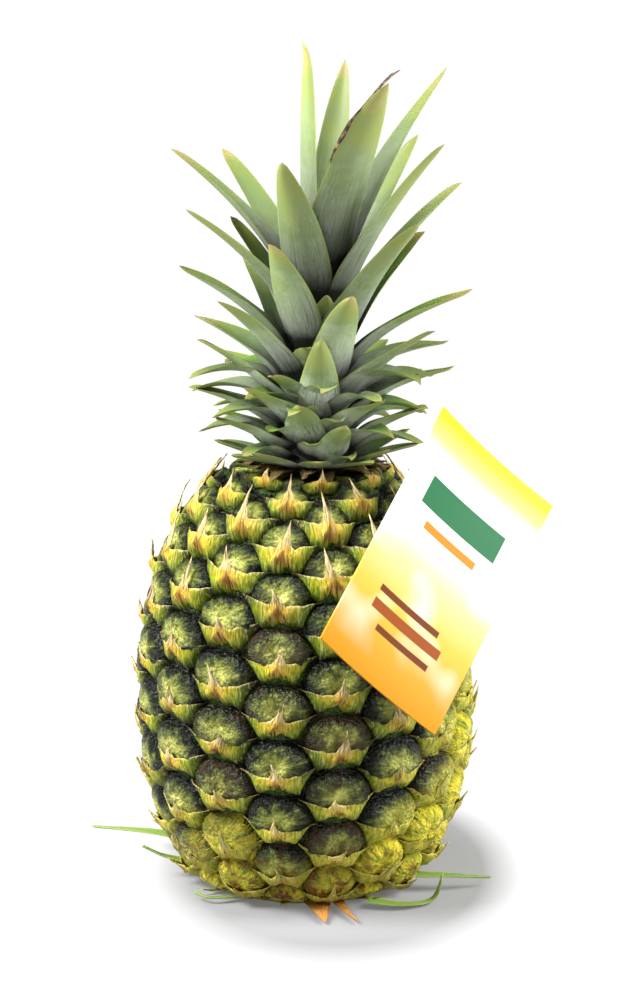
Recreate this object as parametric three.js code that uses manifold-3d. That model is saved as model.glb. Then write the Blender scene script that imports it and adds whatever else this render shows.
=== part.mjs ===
// A whole, unpeeled pineapple standing on its base, with its crown of leaves,
// a few dry leaves left at its foot, and a plain card tag lying against its shoulder.
// Millimetres, +Z up, the origin at the middle of the flat underside, the front towards -Y.
import * as THREE from "three";
import { mergeVertices } from "three/addons/utils/BufferGeometryUtils.js";
import Module from "manifold-3d";

// The fruit: a barrel whose section is a squared-off ellipse, wider below than above.
const GROOVE_RADIUS = 55.4; // waist radius at the bottom of the grooves between the eyes
const WAIST_HEIGHT = 69.5;
const DEPTH_BELOW_WAIST = 81; // to the pole of the lower half, under the cut foot
const HEIGHT_ABOVE_WAIST = 86; // to the pole of the upper half, inside the crown
const LOWER_SQUARENESS = 2.35; // exponent of the section; 2 would be an ellipse
const UPPER_SQUARENESS = 2.2;

// The eyes: a spiral lattice with 8 gentle rows one way and 9 the other, so 17 upright columns.
const GENTLE_ROWS = 8;
const STEEP_ROWS = 9;
const COLUMNS = GENTLE_ROWS + STEEP_ROWS;
const COLUMN_ANGLE = 360 / COLUMNS; // degrees
const EYE_PITCH = 19.7; // height of one eye at the waist
const FIRST_EYE_RISE = 4.2; // along the rind from the foot's edge to the lowest eye of the front column
const FIRST_EYE_AZIMUTH = -9.5; // degrees, right of the front is positive
const SHRINK_ABOVE = 0.4; // how strongly the eyes shorten as the fruit narrows upwards
const SHRINK_BELOW = 0.15;
const CROWN_SEAT_RADIUS = 24; // the rind ends here, under the crown
const FOOT_SEAT_RADIUS = 22; // and here, under the foot
const FOOT_POLE = -3; // the rind closes at this height, and is then cut flat at 0

// Relief of one eye, over the groove.
const DOME_HEIGHT = 4.4;
const BRACT_HEIGHT = 1.5; // the leafy scale over the eye's lower half, on top of the dome
const SPINE_HEIGHT = 2.4; // the scale's dry tip, on top of the dome
const SPINE_LIFT = 0.17; // how far above the eye's middle the tip stands, as a share of its height
const RIM_RING = 0.8; // where the dome turns down to the groove, as a share of the eye
const INNER_RING = 0.4;
const DOME_FLATNESS = 7; // the dome keeps its height up to its rim, then falls steeply
const BRACT_FLATNESS = 4;
const BRACT_DROP = 0.45; // how far under the eye's middle the scale is highest, as a share of its height
const BRACT_HALF_WIDTH = 0.75; // as shares of the eye's half width and half height
const BRACT_HALF_HEIGHT = 0.4;
const NET_HEIGHT = 1.1; // where the tips of three eyes meet
const FOOT_FADE = 13; // the relief runs out over this length above the foot
const DOME_SPREAD = 0.1; // how far one eye differs from the next, as a share of its size
const SPINE_SPREAD = 0.35;
const SPINE_LEAN = 0.12; // sideways, as a share of a column

// The crown: leaves on a short tapering stem, each one turned by the golden angle from the next.
const GOLDEN_ANGLE = 137.5;
const CROWN_X = 3.2; // the crown stands a little to the right of the fruit's axis
const CROWN_LEAN = 0.012; // sideways per millimetre of height
const STEM_FOOT = 150.8;
const SEAT_HOLLOW = 2.4; // depth under the stem of the shallow cup that it stands over
const STEM_TOP = 206;
const STEM_RADIUS_FOOT = 13.5;
const STEM_RADIUS_TOP = 2.6;
const LEAF_GAP = 0.45; // clearance of a leaf's base from the stem
const LEAF_STEP = 1.05; // height between one leaf's base and the next
const TOP_LEAF_BASE = 203.6;
const REFERENCE_AZIMUTH = 35; // the broad leaf that stands highest at the front right
const INNERMOST = -4;
const OUTERMOST = 43;
const RISE_INNERMOST = 90; // the angle above the horizontal at which a leaf leaves the stem
const RISE_OUTERMOST = 40;

// The upper leaves, from the innermost outwards. For each: how far its tip stands from the
// crown's axis, how high the tip is, its greatest width, and a turn off the golden angle.
const UPPER_LEAVES = [
  { reach: 7, tip: 252, wide: 7, turn: 4 },
  { reach: 16, tip: 268, wide: 9, turn: -6 },
  { reach: 4.5, tip: 301, wide: 13, turn: -8 },
  { reach: 24, tip: 292, wide: 15, turn: -10 },
  { reach: 45, tip: 290, wide: 23.5, turn: -3 },
  { reach: 53.5, tip: 262, wide: 16.5, turn: 0 },
  { reach: 58, tip: 288, wide: 13, turn: 6 },
  { reach: 35, tip: 263, wide: 19, turn: -4 },
  { reach: 47, tip: 259.5, wide: 17, turn: 20 },
  { reach: 47, tip: 267.6, wide: 19, turn: 0 },
  { reach: 48, tip: 244.3, wide: 19, turn: -4 },
  { reach: 56, tip: 263, wide: 15, turn: -10 },
  { reach: 11, tip: 214, wide: 12, turn: -4 },
  { reach: 33.5, tip: 237.6, wide: 16, turn: 4 },
  { reach: 52, tip: 250.4, wide: 16, turn: 6 },
  { reach: 30, tip: 234.5, wide: 19, turn: 2 },
  { reach: 47, tip: 244, wide: 18, turn: 0 },
  { reach: 47.5, tip: 241.5, wide: 20, turn: -2 },
  { reach: 48.5, tip: 222.6, wide: 17, turn: 2 },
  { reach: 46, tip: 231, wide: 16, turn: -8 },
  { reach: 17.5, tip: 197, wide: 15, turn: -8 },
  { reach: 38, tip: 224, wide: 17, turn: 4 },
  { reach: 55, tip: 214.5, wide: 16, turn: 2 },
  { reach: 42, tip: 214.3, wide: 17, turn: 0 },
  { reach: 44, tip: 214, wide: 17, turn: 0 },
  { reach: 31.5, tip: 216.5, wide: 18, turn: -7 },
  { reach: 47, tip: 202, wide: 17, turn: 0 },
  { reach: 51, tip: 192, wide: 16, turn: 0 },
  { reach: 28, tip: 188, wide: 15, turn: -10 },
  { reach: 44, tip: 198, wide: 17, turn: 0 },
  { reach: 47, tip: 204, wide: 17, turn: 0 },
  { reach: 42, tip: 198, wide: 17, turn: 0 },
  { reach: 44, tip: 190, wide: 16, turn: 0 },
  { reach: 25, tip: 201, wide: 16.5, turn: -2 },
];
const TALL_LEAVES = 26; // the first of them are long enough to need a finer blade
const SKIRT_REACH_TOP = 47; // the lower leaves, from the first one under the upper ones
const SKIRT_REACH_FOOT = 43;
const SKIRT_TIP_TOP = 187;
const SKIRT_TIP_FOOT = 168;
const SKIRT_WIDTH_TOP = 17;
const SKIRT_WIDTH_FOOT = 15;
const FRONT_SHARE = 0.57; // the blunt leaves at the front reach less far

// The lowest small leaves are one with the stem and lie low over the fruit's shoulder.
const BASAL_LEAVES = 13;
const BASAL_WIDTH = 14;
const BASAL_FOOT_WIDTH = 7;
const BASAL_REACH = 36;
const BASAL_TIP_TOP = 163;
const BASAL_TIP_FOOT = 158;
const BASAL_BASE = 152;
const BASAL_ROOT = 2.5; // depth of their bases inside the stem
const BASAL_RISE = 20;
const BASAL_SWAY = 1.5;
const BASAL_THICKNESS = 1.05;

// Leaf blades.
const BLADE_THICKNESS = 1.5; // along the midrib
const THICKNESS_AT_BASE = 0.85; // as shares of it
const THICKNESS_AT_TIP = 0.45;
const CHANNEL_AT_BASE = 0.25; // depth of the gutter as a share of the leaf's width
const CHANNEL_AT_TIP = 0.14;
const BOW = 0.4; // how far along the leaf it keeps its first direction
const BASE_WRAP = 1.55; // greatest width at the base, as a share of its distance from the axis
const WIDEST_TALL = 0.42; // how far along the blade it is widest, for long leaves and short ones
const WIDEST_SHORT = 0.3;
const TAPER_TALL = 2.8; // the higher, the later the blade narrows
const TAPER_SHORT = 2;
const TIP_BLUNTNESS = 0.8; // the lower, the blunter the tip
const LEAF_SWAY = 2.5; // sideways, at the tip
const LEAF_WAVE = 0.35; // ripple of the margins
const BLADE_ROWS = 6;

// The dry leaves left at the foot, each by the places where it starts, bends and ends.
const FOOT_LEAVES = [
  { name: "foot_leaf_spear", wide: 9.5, places: [[-39.3, 21.9, 5], [-59, 30, 5.8], [-80, 37, 5.6]] },
  { name: "foot_leaf_short", wide: 6, places: [[-43.3, -3.5, 5.5], [-51.5, -4.2, 8], [-59, -5, 12]] },
  { name: "foot_leaf_curl", wide: 3, places: [[-23, -30.6, 1.7], [-34, -34, 2.4], [-40, -29, 3]] },
  {
    name: "foot_leaf_hook",
    wide: 7,
    places: [[22.3, -36, 1.8], [34, -39, 1.4], [45, -34, 1.7], [49, -31, 11]],
  },
  { name: "foot_leaf_strip", wide: 7, places: [[39.5, -17.2, 4.8], [52, -17.5, 4.8], [67, -14, 3]] },
  { name: "foot_scale_left", wide: 10, places: [[4.2, -36.6, 1.2], [5.5, -46, 1.4], [7, -57, 1.1]] },
  { name: "foot_scale_right", wide: 4.5, places: [[11.3, -35.2, 1.2], [14, -45, 1.4], [18.5, -56.5, 1.1]] },
];
const FOOT_LEAF_THICKNESS = 1;
const FOOT_LEAF_CHANNEL = 0.08; // depth of the gutter as a share of the width

// The card tag: it lies against the eyes at the front right and is turned with its head to the right.
const TAG_WIDTH = 58.5;
const TAG_LENGTH = 97;
const TAG_THICKNESS = 0.7;
const TAG_CURL_RADIUS = 190; // the card is slightly hollow across its width
const TAG_AZIMUTH = 38;
const TAG_TILT = 14; // the card faces this far above the horizontal
const TAG_ROLL = 44;
const TAG_TOUCH_HEIGHT = 106;
const TAG_STANDOFF = 62.5; // from the fruit's axis to the back of the card, level with the touch
const TAG_HEAD_SHIFT = 20; // from the touch to the middle of the card, towards its head
const TAG_SIDE_SHIFT = -4; // and across it

const radians = THREE.MathUtils.degToRad;

// A repeatable number from 0 to 1 for each whole number and use.
function chance(index, use) {
  const wave = Math.sin(index * 12.9898 + use * 78.233) * 43758.5453;
  return wave - Math.floor(wave);
}

const spread = (index, use, size) => size * (2 * chance(index, use) - 1);
const blend = (a, b, t) => a + (b - a) * t;

function smooth(t) {
  const held = Math.min(Math.max(t, 0), 1);
  return held * held * (3 - 2 * held);
}

// Manifold solids do the cutting and prove that each body is closed.
const wasm = await Module();
wasm.setup();

function solidFrom(geometry) {
  const bare = geometry.clone();
  bare.deleteAttribute("normal");
  bare.deleteAttribute("uv");
  const merged = mergeVertices(bare, 1e-4);
  return new wasm.Manifold(
    new wasm.Mesh({
      numProp: 3,
      vertProperties: Float32Array.from(merged.attributes.position.array),
      triVerts: Uint32Array.from(merged.index.array),
    }),
  );
}

function geometryFrom(solid) {
  const mesh = solid.getMesh();
  const geometry = new THREE.BufferGeometry();
  geometry.setAttribute("position", new THREE.BufferAttribute(mesh.vertProperties, 3));
  geometry.setIndex(new THREE.BufferAttribute(mesh.triVerts, 1));
  geometry.computeVertexNormals();
  return geometry;
}

function geometryOf(points, faces) {
  const geometry = new THREE.BufferGeometry();
  geometry.setAttribute(
    "position",
    new THREE.Float32BufferAttribute(points.flatMap((p) => [p.x, p.y, p.z]), 3),
  );
  geometry.setIndex(faces.flat());
  return geometry;
}

// The section of the barrel, walked from the lower pole to the upper one at even steps of angle.
const SECTION_STEPS = 900;
const section = [];
for (let i = 0; i <= SECTION_STEPS; i++) {
  const angle = radians(blend(-90, 90, i / SECTION_STEPS));
  const power = 2 / (angle < 0 ? LOWER_SQUARENESS : UPPER_SQUARENESS);
  const half = angle < 0 ? -DEPTH_BELOW_WAIST : HEIGHT_ABOVE_WAIST;
  const radius = GROOVE_RADIUS * Math.pow(Math.abs(Math.cos(angle)), power);
  const height = WAIST_HEIGHT + half * Math.pow(Math.abs(Math.sin(angle)), power);
  section.push({ radius, height, along: 0 });
}
for (let i = 1; i < section.length; i++) {
  const step = Math.hypot(
    section[i].radius - section[i - 1].radius,
    section[i].height - section[i - 1].height,
  );
  section[i].along = section[i - 1].along + step;
}
const footEdge = section.find((place) => place.height >= 0).along;
for (const place of section) {
  place.along -= footEdge;
}

// The rind's place and outward direction at a length along the section, from the foot's edge up.
function rindAt(along) {
  let high = section.findIndex((place) => place.along > along);
  if (high < 1) {
    high = high === 0 ? 1 : section.length - 1;
  }
  const below = section[high - 1];
  const above = section[high];
  const share = (along - below.along) / (above.along - below.along);
  const run = Math.hypot(above.radius - below.radius, above.height - below.height);
  return {
    radius: blend(below.radius, above.radius, share),
    height: blend(below.height, above.height, share),
    outward: (above.height - below.height) / run,
    upward: (below.radius - above.radius) / run,
  };
}

// The eyes, numbered up the spiral; a few more at each end only lend their places to the edges.
const SPARE_EYES = COLUMNS + 1;
const eyes = new Map();
let along = FIRST_EYE_RISE;
eyes.set(0, along);

function rowStep(at) {
  const rind = rindAt(at);
  const shrink = rind.height > WAIST_HEIGHT ? SHRINK_ABOVE : SHRINK_BELOW;
  const narrow = Math.max(rind.radius, CROWN_SEAT_RADIUS / 2) / GROOVE_RADIUS;
  return (EYE_PITCH / COLUMNS) * Math.pow(narrow, shrink);
}
const lowestAlong = section.find((place) => place.radius > FOOT_SEAT_RADIUS).along;
const highestAlong = section.findLast((place) => place.radius > CROWN_SEAT_RADIUS).along;
let lowestEye = 0;
for (let eye = 0; along > lowestAlong; eye--) {
  along -= rowStep(along);
  eyes.set(eye - 1, along);
  lowestEye = eye;
}
for (let eye = lowestEye - 1; eye >= lowestEye - SPARE_EYES; eye--) {
  along -= EYE_PITCH / COLUMNS / 3;
  eyes.set(eye, along);
}
along = FIRST_EYE_RISE;
let highestEye = 0;
for (let eye = 0; along < highestAlong; eye++) {
  along += rowStep(along);
  eyes.set(eye + 1, along);
  highestEye = eye;
}
for (let eye = highestEye + 1; eye <= highestEye + SPARE_EYES; eye++) {
  along += EYE_PITCH / COLUMNS / 4;
  eyes.set(eye, along);
}

// One eye is a six-sided cell whose corners are shared with two neighbours each.
function cornersOf(eye) {
  const up = (step) => eyes.get(eye + step);
  const corner = (columns, a, b) => ({
    turn: (columns * COLUMN_ANGLE) / 3,
    along: (up(0) + up(a) + up(b)) / 3,
  });
  return [
    corner(2, GENTLE_ROWS, -STEEP_ROWS),
    corner(1, COLUMNS, GENTLE_ROWS),
    corner(-1, STEEP_ROWS, COLUMNS),
    corner(-2, -GENTLE_ROWS, STEEP_ROWS),
    corner(-1, -COLUMNS, -GENTLE_ROWS),
    corner(1, -STEEP_ROWS, -COLUMNS),
  ];
}

const azimuthOf = (eye) => FIRST_EYE_AZIMUTH - 2 * COLUMN_ANGLE * eye;

function rindPoint(azimuth, length, relief) {
  const rind = rindAt(length);
  const fade = smooth((length + 2) / FOOT_FADE);
  const radius = rind.radius + rind.outward * relief * fade;
  return new THREE.Vector3(
    radius * Math.sin(radians(azimuth)),
    -radius * Math.cos(radians(azimuth)),
    rind.height + rind.upward * relief * fade,
  );
}

// Height of the eye at a share of the way from its middle to its edge. x and y run from -1 to 1
// over the eye: the dome stands over the whole of it and the scale over its lower half.
function eyeRelief(eye, edge, x, y) {
  const size = Math.pow(rindAt(eyes.get(eye)).radius / GROOVE_RADIUS, 0.5);
  const dome = DOME_HEIGHT * (1 - Math.pow(edge, DOME_FLATNESS)) * (1 + spread(eye, 1, DOME_SPREAD));
  const sideways = Math.pow(x / BRACT_HALF_WIDTH, 2);
  const upwards = Math.pow((y + BRACT_DROP) / BRACT_HALF_HEIGHT, 2);
  const bract = BRACT_HEIGHT * Math.exp(-sideways - upwards);
  return size * (dome + bract * (1 - Math.pow(edge, BRACT_FLATNESS)));
}

const rindTriangles = [];

function addFace(a, b, c) {
  rindTriangles.push(a, b, c);
}

const RINGS = [0, INNER_RING, RIM_RING, 1];
for (let eye = lowestEye; eye <= highestEye; eye++) {
  const centre = eyes.get(eye);
  const corners = cornersOf(eye);
  const tall = (corners[1].along + corners[2].along) / 2 - centre;
  const azimuth = azimuthOf(eye);
  // The points of ring n: 6 n places, walked round the cell.
  const rings = RINGS.map((share, n) => {
    if (n === 0) {
      const tilt = spread(eye, 2, SPINE_LEAN) * COLUMN_ANGLE;
      const lift = SPINE_LIFT * 2 * tall;
      const size = rindAt(centre).radius / GROOVE_RADIUS;
      const spine = SPINE_HEIGHT * size * (1 + spread(eye, 3, SPINE_SPREAD));
      return [rindPoint(azimuth + tilt, centre + lift, eyeRelief(eye, 0, 0, 0) + spine)];
    }
    const places = [];
    for (let side = 0; side < 6; side++) {
      const from = corners[side];
      const to = corners[(side + 1) % 6];
      for (let step = 0; step < n; step++) {
        const turn = share * blend(from.turn, to.turn, step / n);
        const rise = share * (blend(from.along, to.along, step / n) - centre);
        const x = turn / ((COLUMN_ANGLE * 2) / 3);
        const y = rise / tall;
        const net = step === 0 ? NET_HEIGHT : 0;
        const relief = n === 3 ? net : eyeRelief(eye, share, x, y);
        places.push(rindPoint(azimuth + turn, centre + rise, relief));
      }
    }
    return places;
  });
  for (let n = 1; n < rings.length; n++) {
    for (let side = 0; side < 6; side++) {
      for (let step = 0; step < n; step++) {
        const outer = rings[n][side * n + step];
        const outerNext = rings[n][(side * n + step + 1) % (6 * n)];
        const inner = rings[n - 1][(side * (n - 1) + step) % Math.max(6 * (n - 1), 1)];
        addFace(inner, outer, outerNext);
        if (step < n - 1) {
          const innerNext = rings[n - 1][(side * (n - 1) + step + 1) % (6 * (n - 1))];
          addFace(inner, outerNext, innerNext);
        }
      }
    }
  }
}

// The open edges under the crown and under the foot are closed to a point on the axis.
const openRind = mergeVertices(
  new THREE.BufferGeometry().setFromPoints(rindTriangles),
  1e-3,
);
const rindPoints = [];
for (let i = 0; i < openRind.attributes.position.count; i++) {
  rindPoints.push(new THREE.Vector3().fromBufferAttribute(openRind.attributes.position, i));
}
const rindFaces = [];
const loneEdges = new Map();
for (let i = 0; i < openRind.index.count; i += 3) {
  const face = [0, 1, 2].map((n) => openRind.index.getX(i + n));
  rindFaces.push(face);
  for (let n = 0; n < 3; n++) {
    const from = face[n];
    const to = face[(n + 1) % 3];
    if (!loneEdges.delete(to + "," + from)) {
      loneEdges.set(from + "," + to, [from, to]);
    }
  }
}
const crownPole = rindPoints.push(new THREE.Vector3(0, 0, STEM_FOOT - SEAT_HOLLOW)) - 1;
const footPole = rindPoints.push(new THREE.Vector3(0, 0, FOOT_POLE)) - 1;
for (const [from, to] of loneEdges.values()) {
  rindFaces.push([to, from, rindPoints[from].z > WAIST_HEIGHT ? crownPole : footPole]);
}
const wholeRind = solidFrom(geometryOf(rindPoints, rindFaces));
const fruitGeometry = geometryFrom(wholeRind.trimByPlane([0, 0, 1], 0));

// The crown's axis leans a little, so a place on it depends on its height.
function crownAxis(height) {
  return CROWN_X + CROWN_LEAN * (height - STEM_FOOT);
}

// A leaf blade: a gutter that narrows to a point, thickest along its midrib. The line gives the
// place, the way across and the way up (the hollow side) for each share of the length.
function bladeGeometry({ line, width, channel, thickness, rows, columns, wave = 0, phase = 0 }) {
  const points = [];
  const faces = [];
  const upper = [];
  const lower = [];
  for (let row = 0; row < rows; row++) {
    const t = row / rows;
    const { place, across, up } = line(t);
    const wide = width(t);
    upper.push([]);
    lower.push([]);
    for (let column = 0; column <= columns; column++) {
      const q = (2 * column) / columns - 1;
      const ripple = wave * q * q * Math.sin(9 * t + phase + 1.5 * q);
      const point = place
        .clone()
        .addScaledVector(across, (q * wide) / 2)
        .addScaledVector(up, channel(t) * wide * q * q + ripple);
      const half = (thickness(t) / 2) * (1 - q * q);
      if (column === 0 || column === columns) {
        upper[row].push(points.push(point) - 1);
        lower[row].push(upper[row][column]);
      } else {
        upper[row].push(points.push(point.clone().addScaledVector(up, half)) - 1);
        lower[row].push(points.push(point.clone().addScaledVector(up, -half)) - 1);
      }
    }
  }
  const tip = points.push(line(1).place) - 1;
  for (let row = 0; row < rows; row++) {
    for (let column = 0; column < columns; column++) {
      const [a, b] = [upper[row][column], upper[row][column + 1]];
      const [c, d] = [lower[row][column], lower[row][column + 1]];
      if (row === rows - 1) {
        faces.push([b, a, tip], [c, d, tip]);
        continue;
      }
      const [e, f] = [upper[row + 1][column], upper[row + 1][column + 1]];
      const [g, h] = [lower[row + 1][column], lower[row + 1][column + 1]];
      faces.push([b, a, f], [f, a, e], [c, d, g], [g, d, h]);
    }
  }
  for (let column = 0; column < columns; column++) {
    const [a, b] = [upper[0][column], upper[0][column + 1]];
    const [c, d] = [lower[0][column], lower[0][column + 1]];
    if (a !== c) {
      faces.push([c, a, d]);
    }
    if (b !== d) {
      faces.push([d, a, b]);
    }
  }
  const geometry = geometryOf(points, faces);
  geometry.computeVertexNormals();
  return geometry;
}

// A bowed line in the upright plane of an azimuth: it starts at the rise angle and ends at the tip.
function bowedLine({ azimuth, start, end, rise, bow, sway }) {
  const outward = new THREE.Vector3(Math.sin(azimuth), -Math.cos(azimuth), 0);
  const across = new THREE.Vector3(Math.cos(azimuth), Math.sin(azimuth), 0);
  const reach = bow * start.distanceTo(end);
  const knee = new THREE.Vector2(Math.cos(rise), Math.sin(rise)).multiplyScalar(reach).add(start);
  const curve = new THREE.QuadraticBezierCurve(start, knee, end);
  return (t) => {
    const flat = curve.getPoint(t);
    const way = curve.getTangent(t);
    const place = new THREE.Vector3(crownAxis(flat.y), 0, flat.y)
      .addScaledVector(outward, flat.x)
      .addScaledVector(across, sway * t * t);
    const up = outward.clone().multiplyScalar(-way.y).setZ(way.x);
    return { place, across, up };
  };
}

// A line through a few places, its hollow side turned upwards.
function freeLine(places) {
  const curve = new THREE.CatmullRomCurve3(places.map((p) => new THREE.Vector3(...p)));
  return (t) => {
    const way = curve.getTangent(t);
    const across = new THREE.Vector3(0, 0, 1).cross(way).normalize();
    return { place: curve.getPoint(t), across, up: way.cross(across) };
  };
}

function stemRadius(height) {
  const share = (height - STEM_FOOT) / (STEM_TOP - STEM_FOOT);
  return blend(STEM_RADIUS_FOOT, STEM_RADIUS_TOP, Math.min(Math.max(share, 0), 1));
}

// Every leaf of the crown, from the innermost to the lowest of the skirt.
function leafPlan(number) {
  const order = number - INNERMOST;
  const base = TOP_LEAF_BASE - LEAF_STEP * order;
  const upper = UPPER_LEAVES[order];
  const azimuth = REFERENCE_AZIMUTH - GOLDEN_ANGLE * number;
  const rise = blend(RISE_INNERMOST, RISE_OUTERMOST, order / (OUTERMOST - INNERMOST));
  if (upper) {
    return { ...upper, azimuth: azimuth + upper.turn, base, rise };
  }
  const down = (order - UPPER_LEAVES.length) / (OUTERMOST - INNERMOST - UPPER_LEAVES.length);
  const front = blend(1, FRONT_SHARE, Math.pow(Math.max(Math.cos(radians(azimuth)), 0), 2));
  return {
    azimuth: azimuth + spread(number, 4, 4),
    base,
    reach: front * blend(SKIRT_REACH_TOP, SKIRT_REACH_FOOT, down * down) + spread(number, 5, 2.5),
    tip: blend(SKIRT_TIP_TOP, SKIRT_TIP_FOOT, down) + spread(number, 6, 2),
    wide: blend(SKIRT_WIDTH_TOP, SKIRT_WIDTH_FOOT, down),
    rise,
  };
}

// The outline that a leaf's width follows, from its base to its tip. The long leaves are widest
// half way up, the short ones near the stem.
function leafWidth(wide, baseWidth, tall) {
  const baseShare = Math.min(1, baseWidth / wide);
  const widest = tall ? WIDEST_TALL : WIDEST_SHORT;
  const taper = tall ? TAPER_TALL : TAPER_SHORT;
  return (t) => {
    const narrowing = Math.pow(1 - Math.pow(t, taper), TIP_BLUNTNESS);
    return wide * blend(baseShare, 1, smooth(t / widest)) * narrowing;
  };
}

const leaves = [];
for (let number = INNERMOST; number <= OUTERMOST; number++) {
  const plan = leafPlan(number);
  const tall = number - INNERMOST < TALL_LEAVES;
  const start = new THREE.Vector2(stemRadius(plan.base) + BLADE_THICKNESS / 2 + LEAF_GAP, plan.base);
  const end = new THREE.Vector2(plan.reach, plan.tip);
  const line = bowedLine({
    azimuth: radians(plan.azimuth),
    start,
    end,
    rise: radians(plan.rise),
    bow: BOW,
    sway: spread(number, 7, LEAF_SWAY),
  });
  leaves.push({
    name: "crown_leaf_" + String(number - INNERMOST + 1).padStart(2, "0"),
    geometry: bladeGeometry({
      line,
      width: leafWidth(plan.wide, start.x * BASE_WRAP, tall),
      channel: (t) => blend(CHANNEL_AT_BASE, CHANNEL_AT_TIP, t),
      thickness: (t) => BLADE_THICKNESS * blend(THICKNESS_AT_BASE, THICKNESS_AT_TIP, t),
      rows: BLADE_ROWS,
      columns: tall ? 4 : 2,
      wave: LEAF_WAVE,
      phase: 2 * Math.PI * chance(number, 8),
    }),
  });
}

// The stem under the leaves, standing on the fruit.
const stemGeometry = new THREE.LatheGeometry(
  [
    new THREE.Vector2(0, 0),
    new THREE.Vector2(STEM_RADIUS_FOOT, 0),
    new THREE.Vector2(STEM_RADIUS_TOP, STEM_TOP - STEM_FOOT),
    new THREE.Vector2(0, STEM_TOP - STEM_FOOT),
  ],
  12,
);
stemGeometry.rotateX(Math.PI / 2);
stemGeometry.translate(CROWN_X, 0, STEM_FOOT);
let stemSolid = solidFrom(stemGeometry);
for (let n = 1; n <= BASAL_LEAVES; n++) {
  const number = OUTERMOST + n;
  const azimuth = REFERENCE_AZIMUTH - GOLDEN_ANGLE * number;
  const start = new THREE.Vector2(STEM_RADIUS_FOOT - BASAL_ROOT, BASAL_BASE);
  const tip = blend(BASAL_TIP_TOP, BASAL_TIP_FOOT, n / BASAL_LEAVES);
  const line = bowedLine({
    azimuth: radians(azimuth),
    start,
    end: new THREE.Vector2(BASAL_REACH + spread(number, 5, 2), tip),
    rise: radians(BASAL_RISE),
    bow: BOW,
    sway: spread(number, 7, BASAL_SWAY),
  });
  const blade = bladeGeometry({
    line,
    width: leafWidth(BASAL_WIDTH, BASAL_FOOT_WIDTH, false),
    channel: (t) => CHANNEL_AT_TIP * t,
    thickness: () => BASAL_THICKNESS,
    rows: 4,
    columns: 2,
  });
  stemSolid = stemSolid.add(solidFrom(blade));
}

// The dry leaves at the foot narrow from where they start to a thin tip.
const footLeaves = FOOT_LEAVES.map(({ name, wide, places }) => ({
  name,
  geometry: bladeGeometry({
    line: freeLine(places),
    width: (t) => wide * Math.pow(1 - t, TIP_BLUNTNESS),
    channel: () => FOOT_LEAF_CHANNEL,
    thickness: () => FOOT_LEAF_THICKNESS,
    rows: BLADE_ROWS,
    columns: 2,
  }),
}));

// The card: a strip of a wide cylinder, hollow towards the front.
const curlAngle = TAG_WIDTH / TAG_CURL_RADIUS;
const rightEdge = (Math.PI - curlAngle) / 2;
const leftEdge = (Math.PI + curlAngle) / 2;
const cardSection = new THREE.Shape();
cardSection.absarc(0, 0, TAG_CURL_RADIUS + TAG_THICKNESS, rightEdge, leftEdge);
cardSection.absarc(0, 0, TAG_CURL_RADIUS, leftEdge, rightEdge, true);
const tagGeometry = new THREE.ExtrudeGeometry(cardSection, {
  depth: TAG_LENGTH,
  bevelEnabled: false,
  curveSegments: 10,
});
tagGeometry.translate(TAG_SIDE_SHIFT, -TAG_CURL_RADIUS - TAG_THICKNESS, TAG_HEAD_SHIFT - TAG_LENGTH / 2);
const tagLevel = new THREE.Vector3(Math.cos(radians(TAG_AZIMUTH)), Math.sin(radians(TAG_AZIMUTH)), 0);
const tagFacing = new THREE.Vector3(
  Math.cos(radians(TAG_TILT)) * Math.sin(radians(TAG_AZIMUTH)),
  -Math.cos(radians(TAG_TILT)) * Math.cos(radians(TAG_AZIMUTH)),
  Math.sin(radians(TAG_TILT)),
);
tagGeometry.applyMatrix4(
  new THREE.Matrix4().makeBasis(
    tagLevel,
    tagFacing.clone().negate(),
    tagFacing.clone().cross(tagLevel),
  ).multiply(new THREE.Matrix4().makeRotationY(radians(TAG_ROLL))),
);

const group = new THREE.Group();

function addNode(name, geometry, color, roughness) {
  const mesh = new THREE.Mesh(
    geometry,
    new THREE.MeshStandardMaterial({ color, roughness, metalness: 0 }),
  );
  mesh.name = name;
  group.add(mesh);
  return mesh;
}

addNode("fruit", fruitGeometry, "#6f7a2e", 0.45);
addNode("crown_stem", geometryFrom(stemSolid), "#b9c48a", 0.6);
for (const leaf of leaves) {
  addNode(leaf.name, leaf.geometry, "#7d9463", 0.5);
}
for (const leaf of footLeaves) {
  addNode(leaf.name, leaf.geometry, leaf.name.includes("scale") ? "#b98a45" : "#6f8f3a", 0.6);
}
const tag = addNode("tag", tagGeometry, "#f7ecb0", 0.4);
tag.position.set(
  TAG_STANDOFF * Math.sin(radians(TAG_AZIMUTH)),
  -TAG_STANDOFF * Math.cos(radians(TAG_AZIMUTH)),
  TAG_TOUCH_HEIGHT,
);

export default group;
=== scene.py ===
import math

import bmesh
import bpy
import numpy as np
from mathutils import Matrix, Vector


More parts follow.
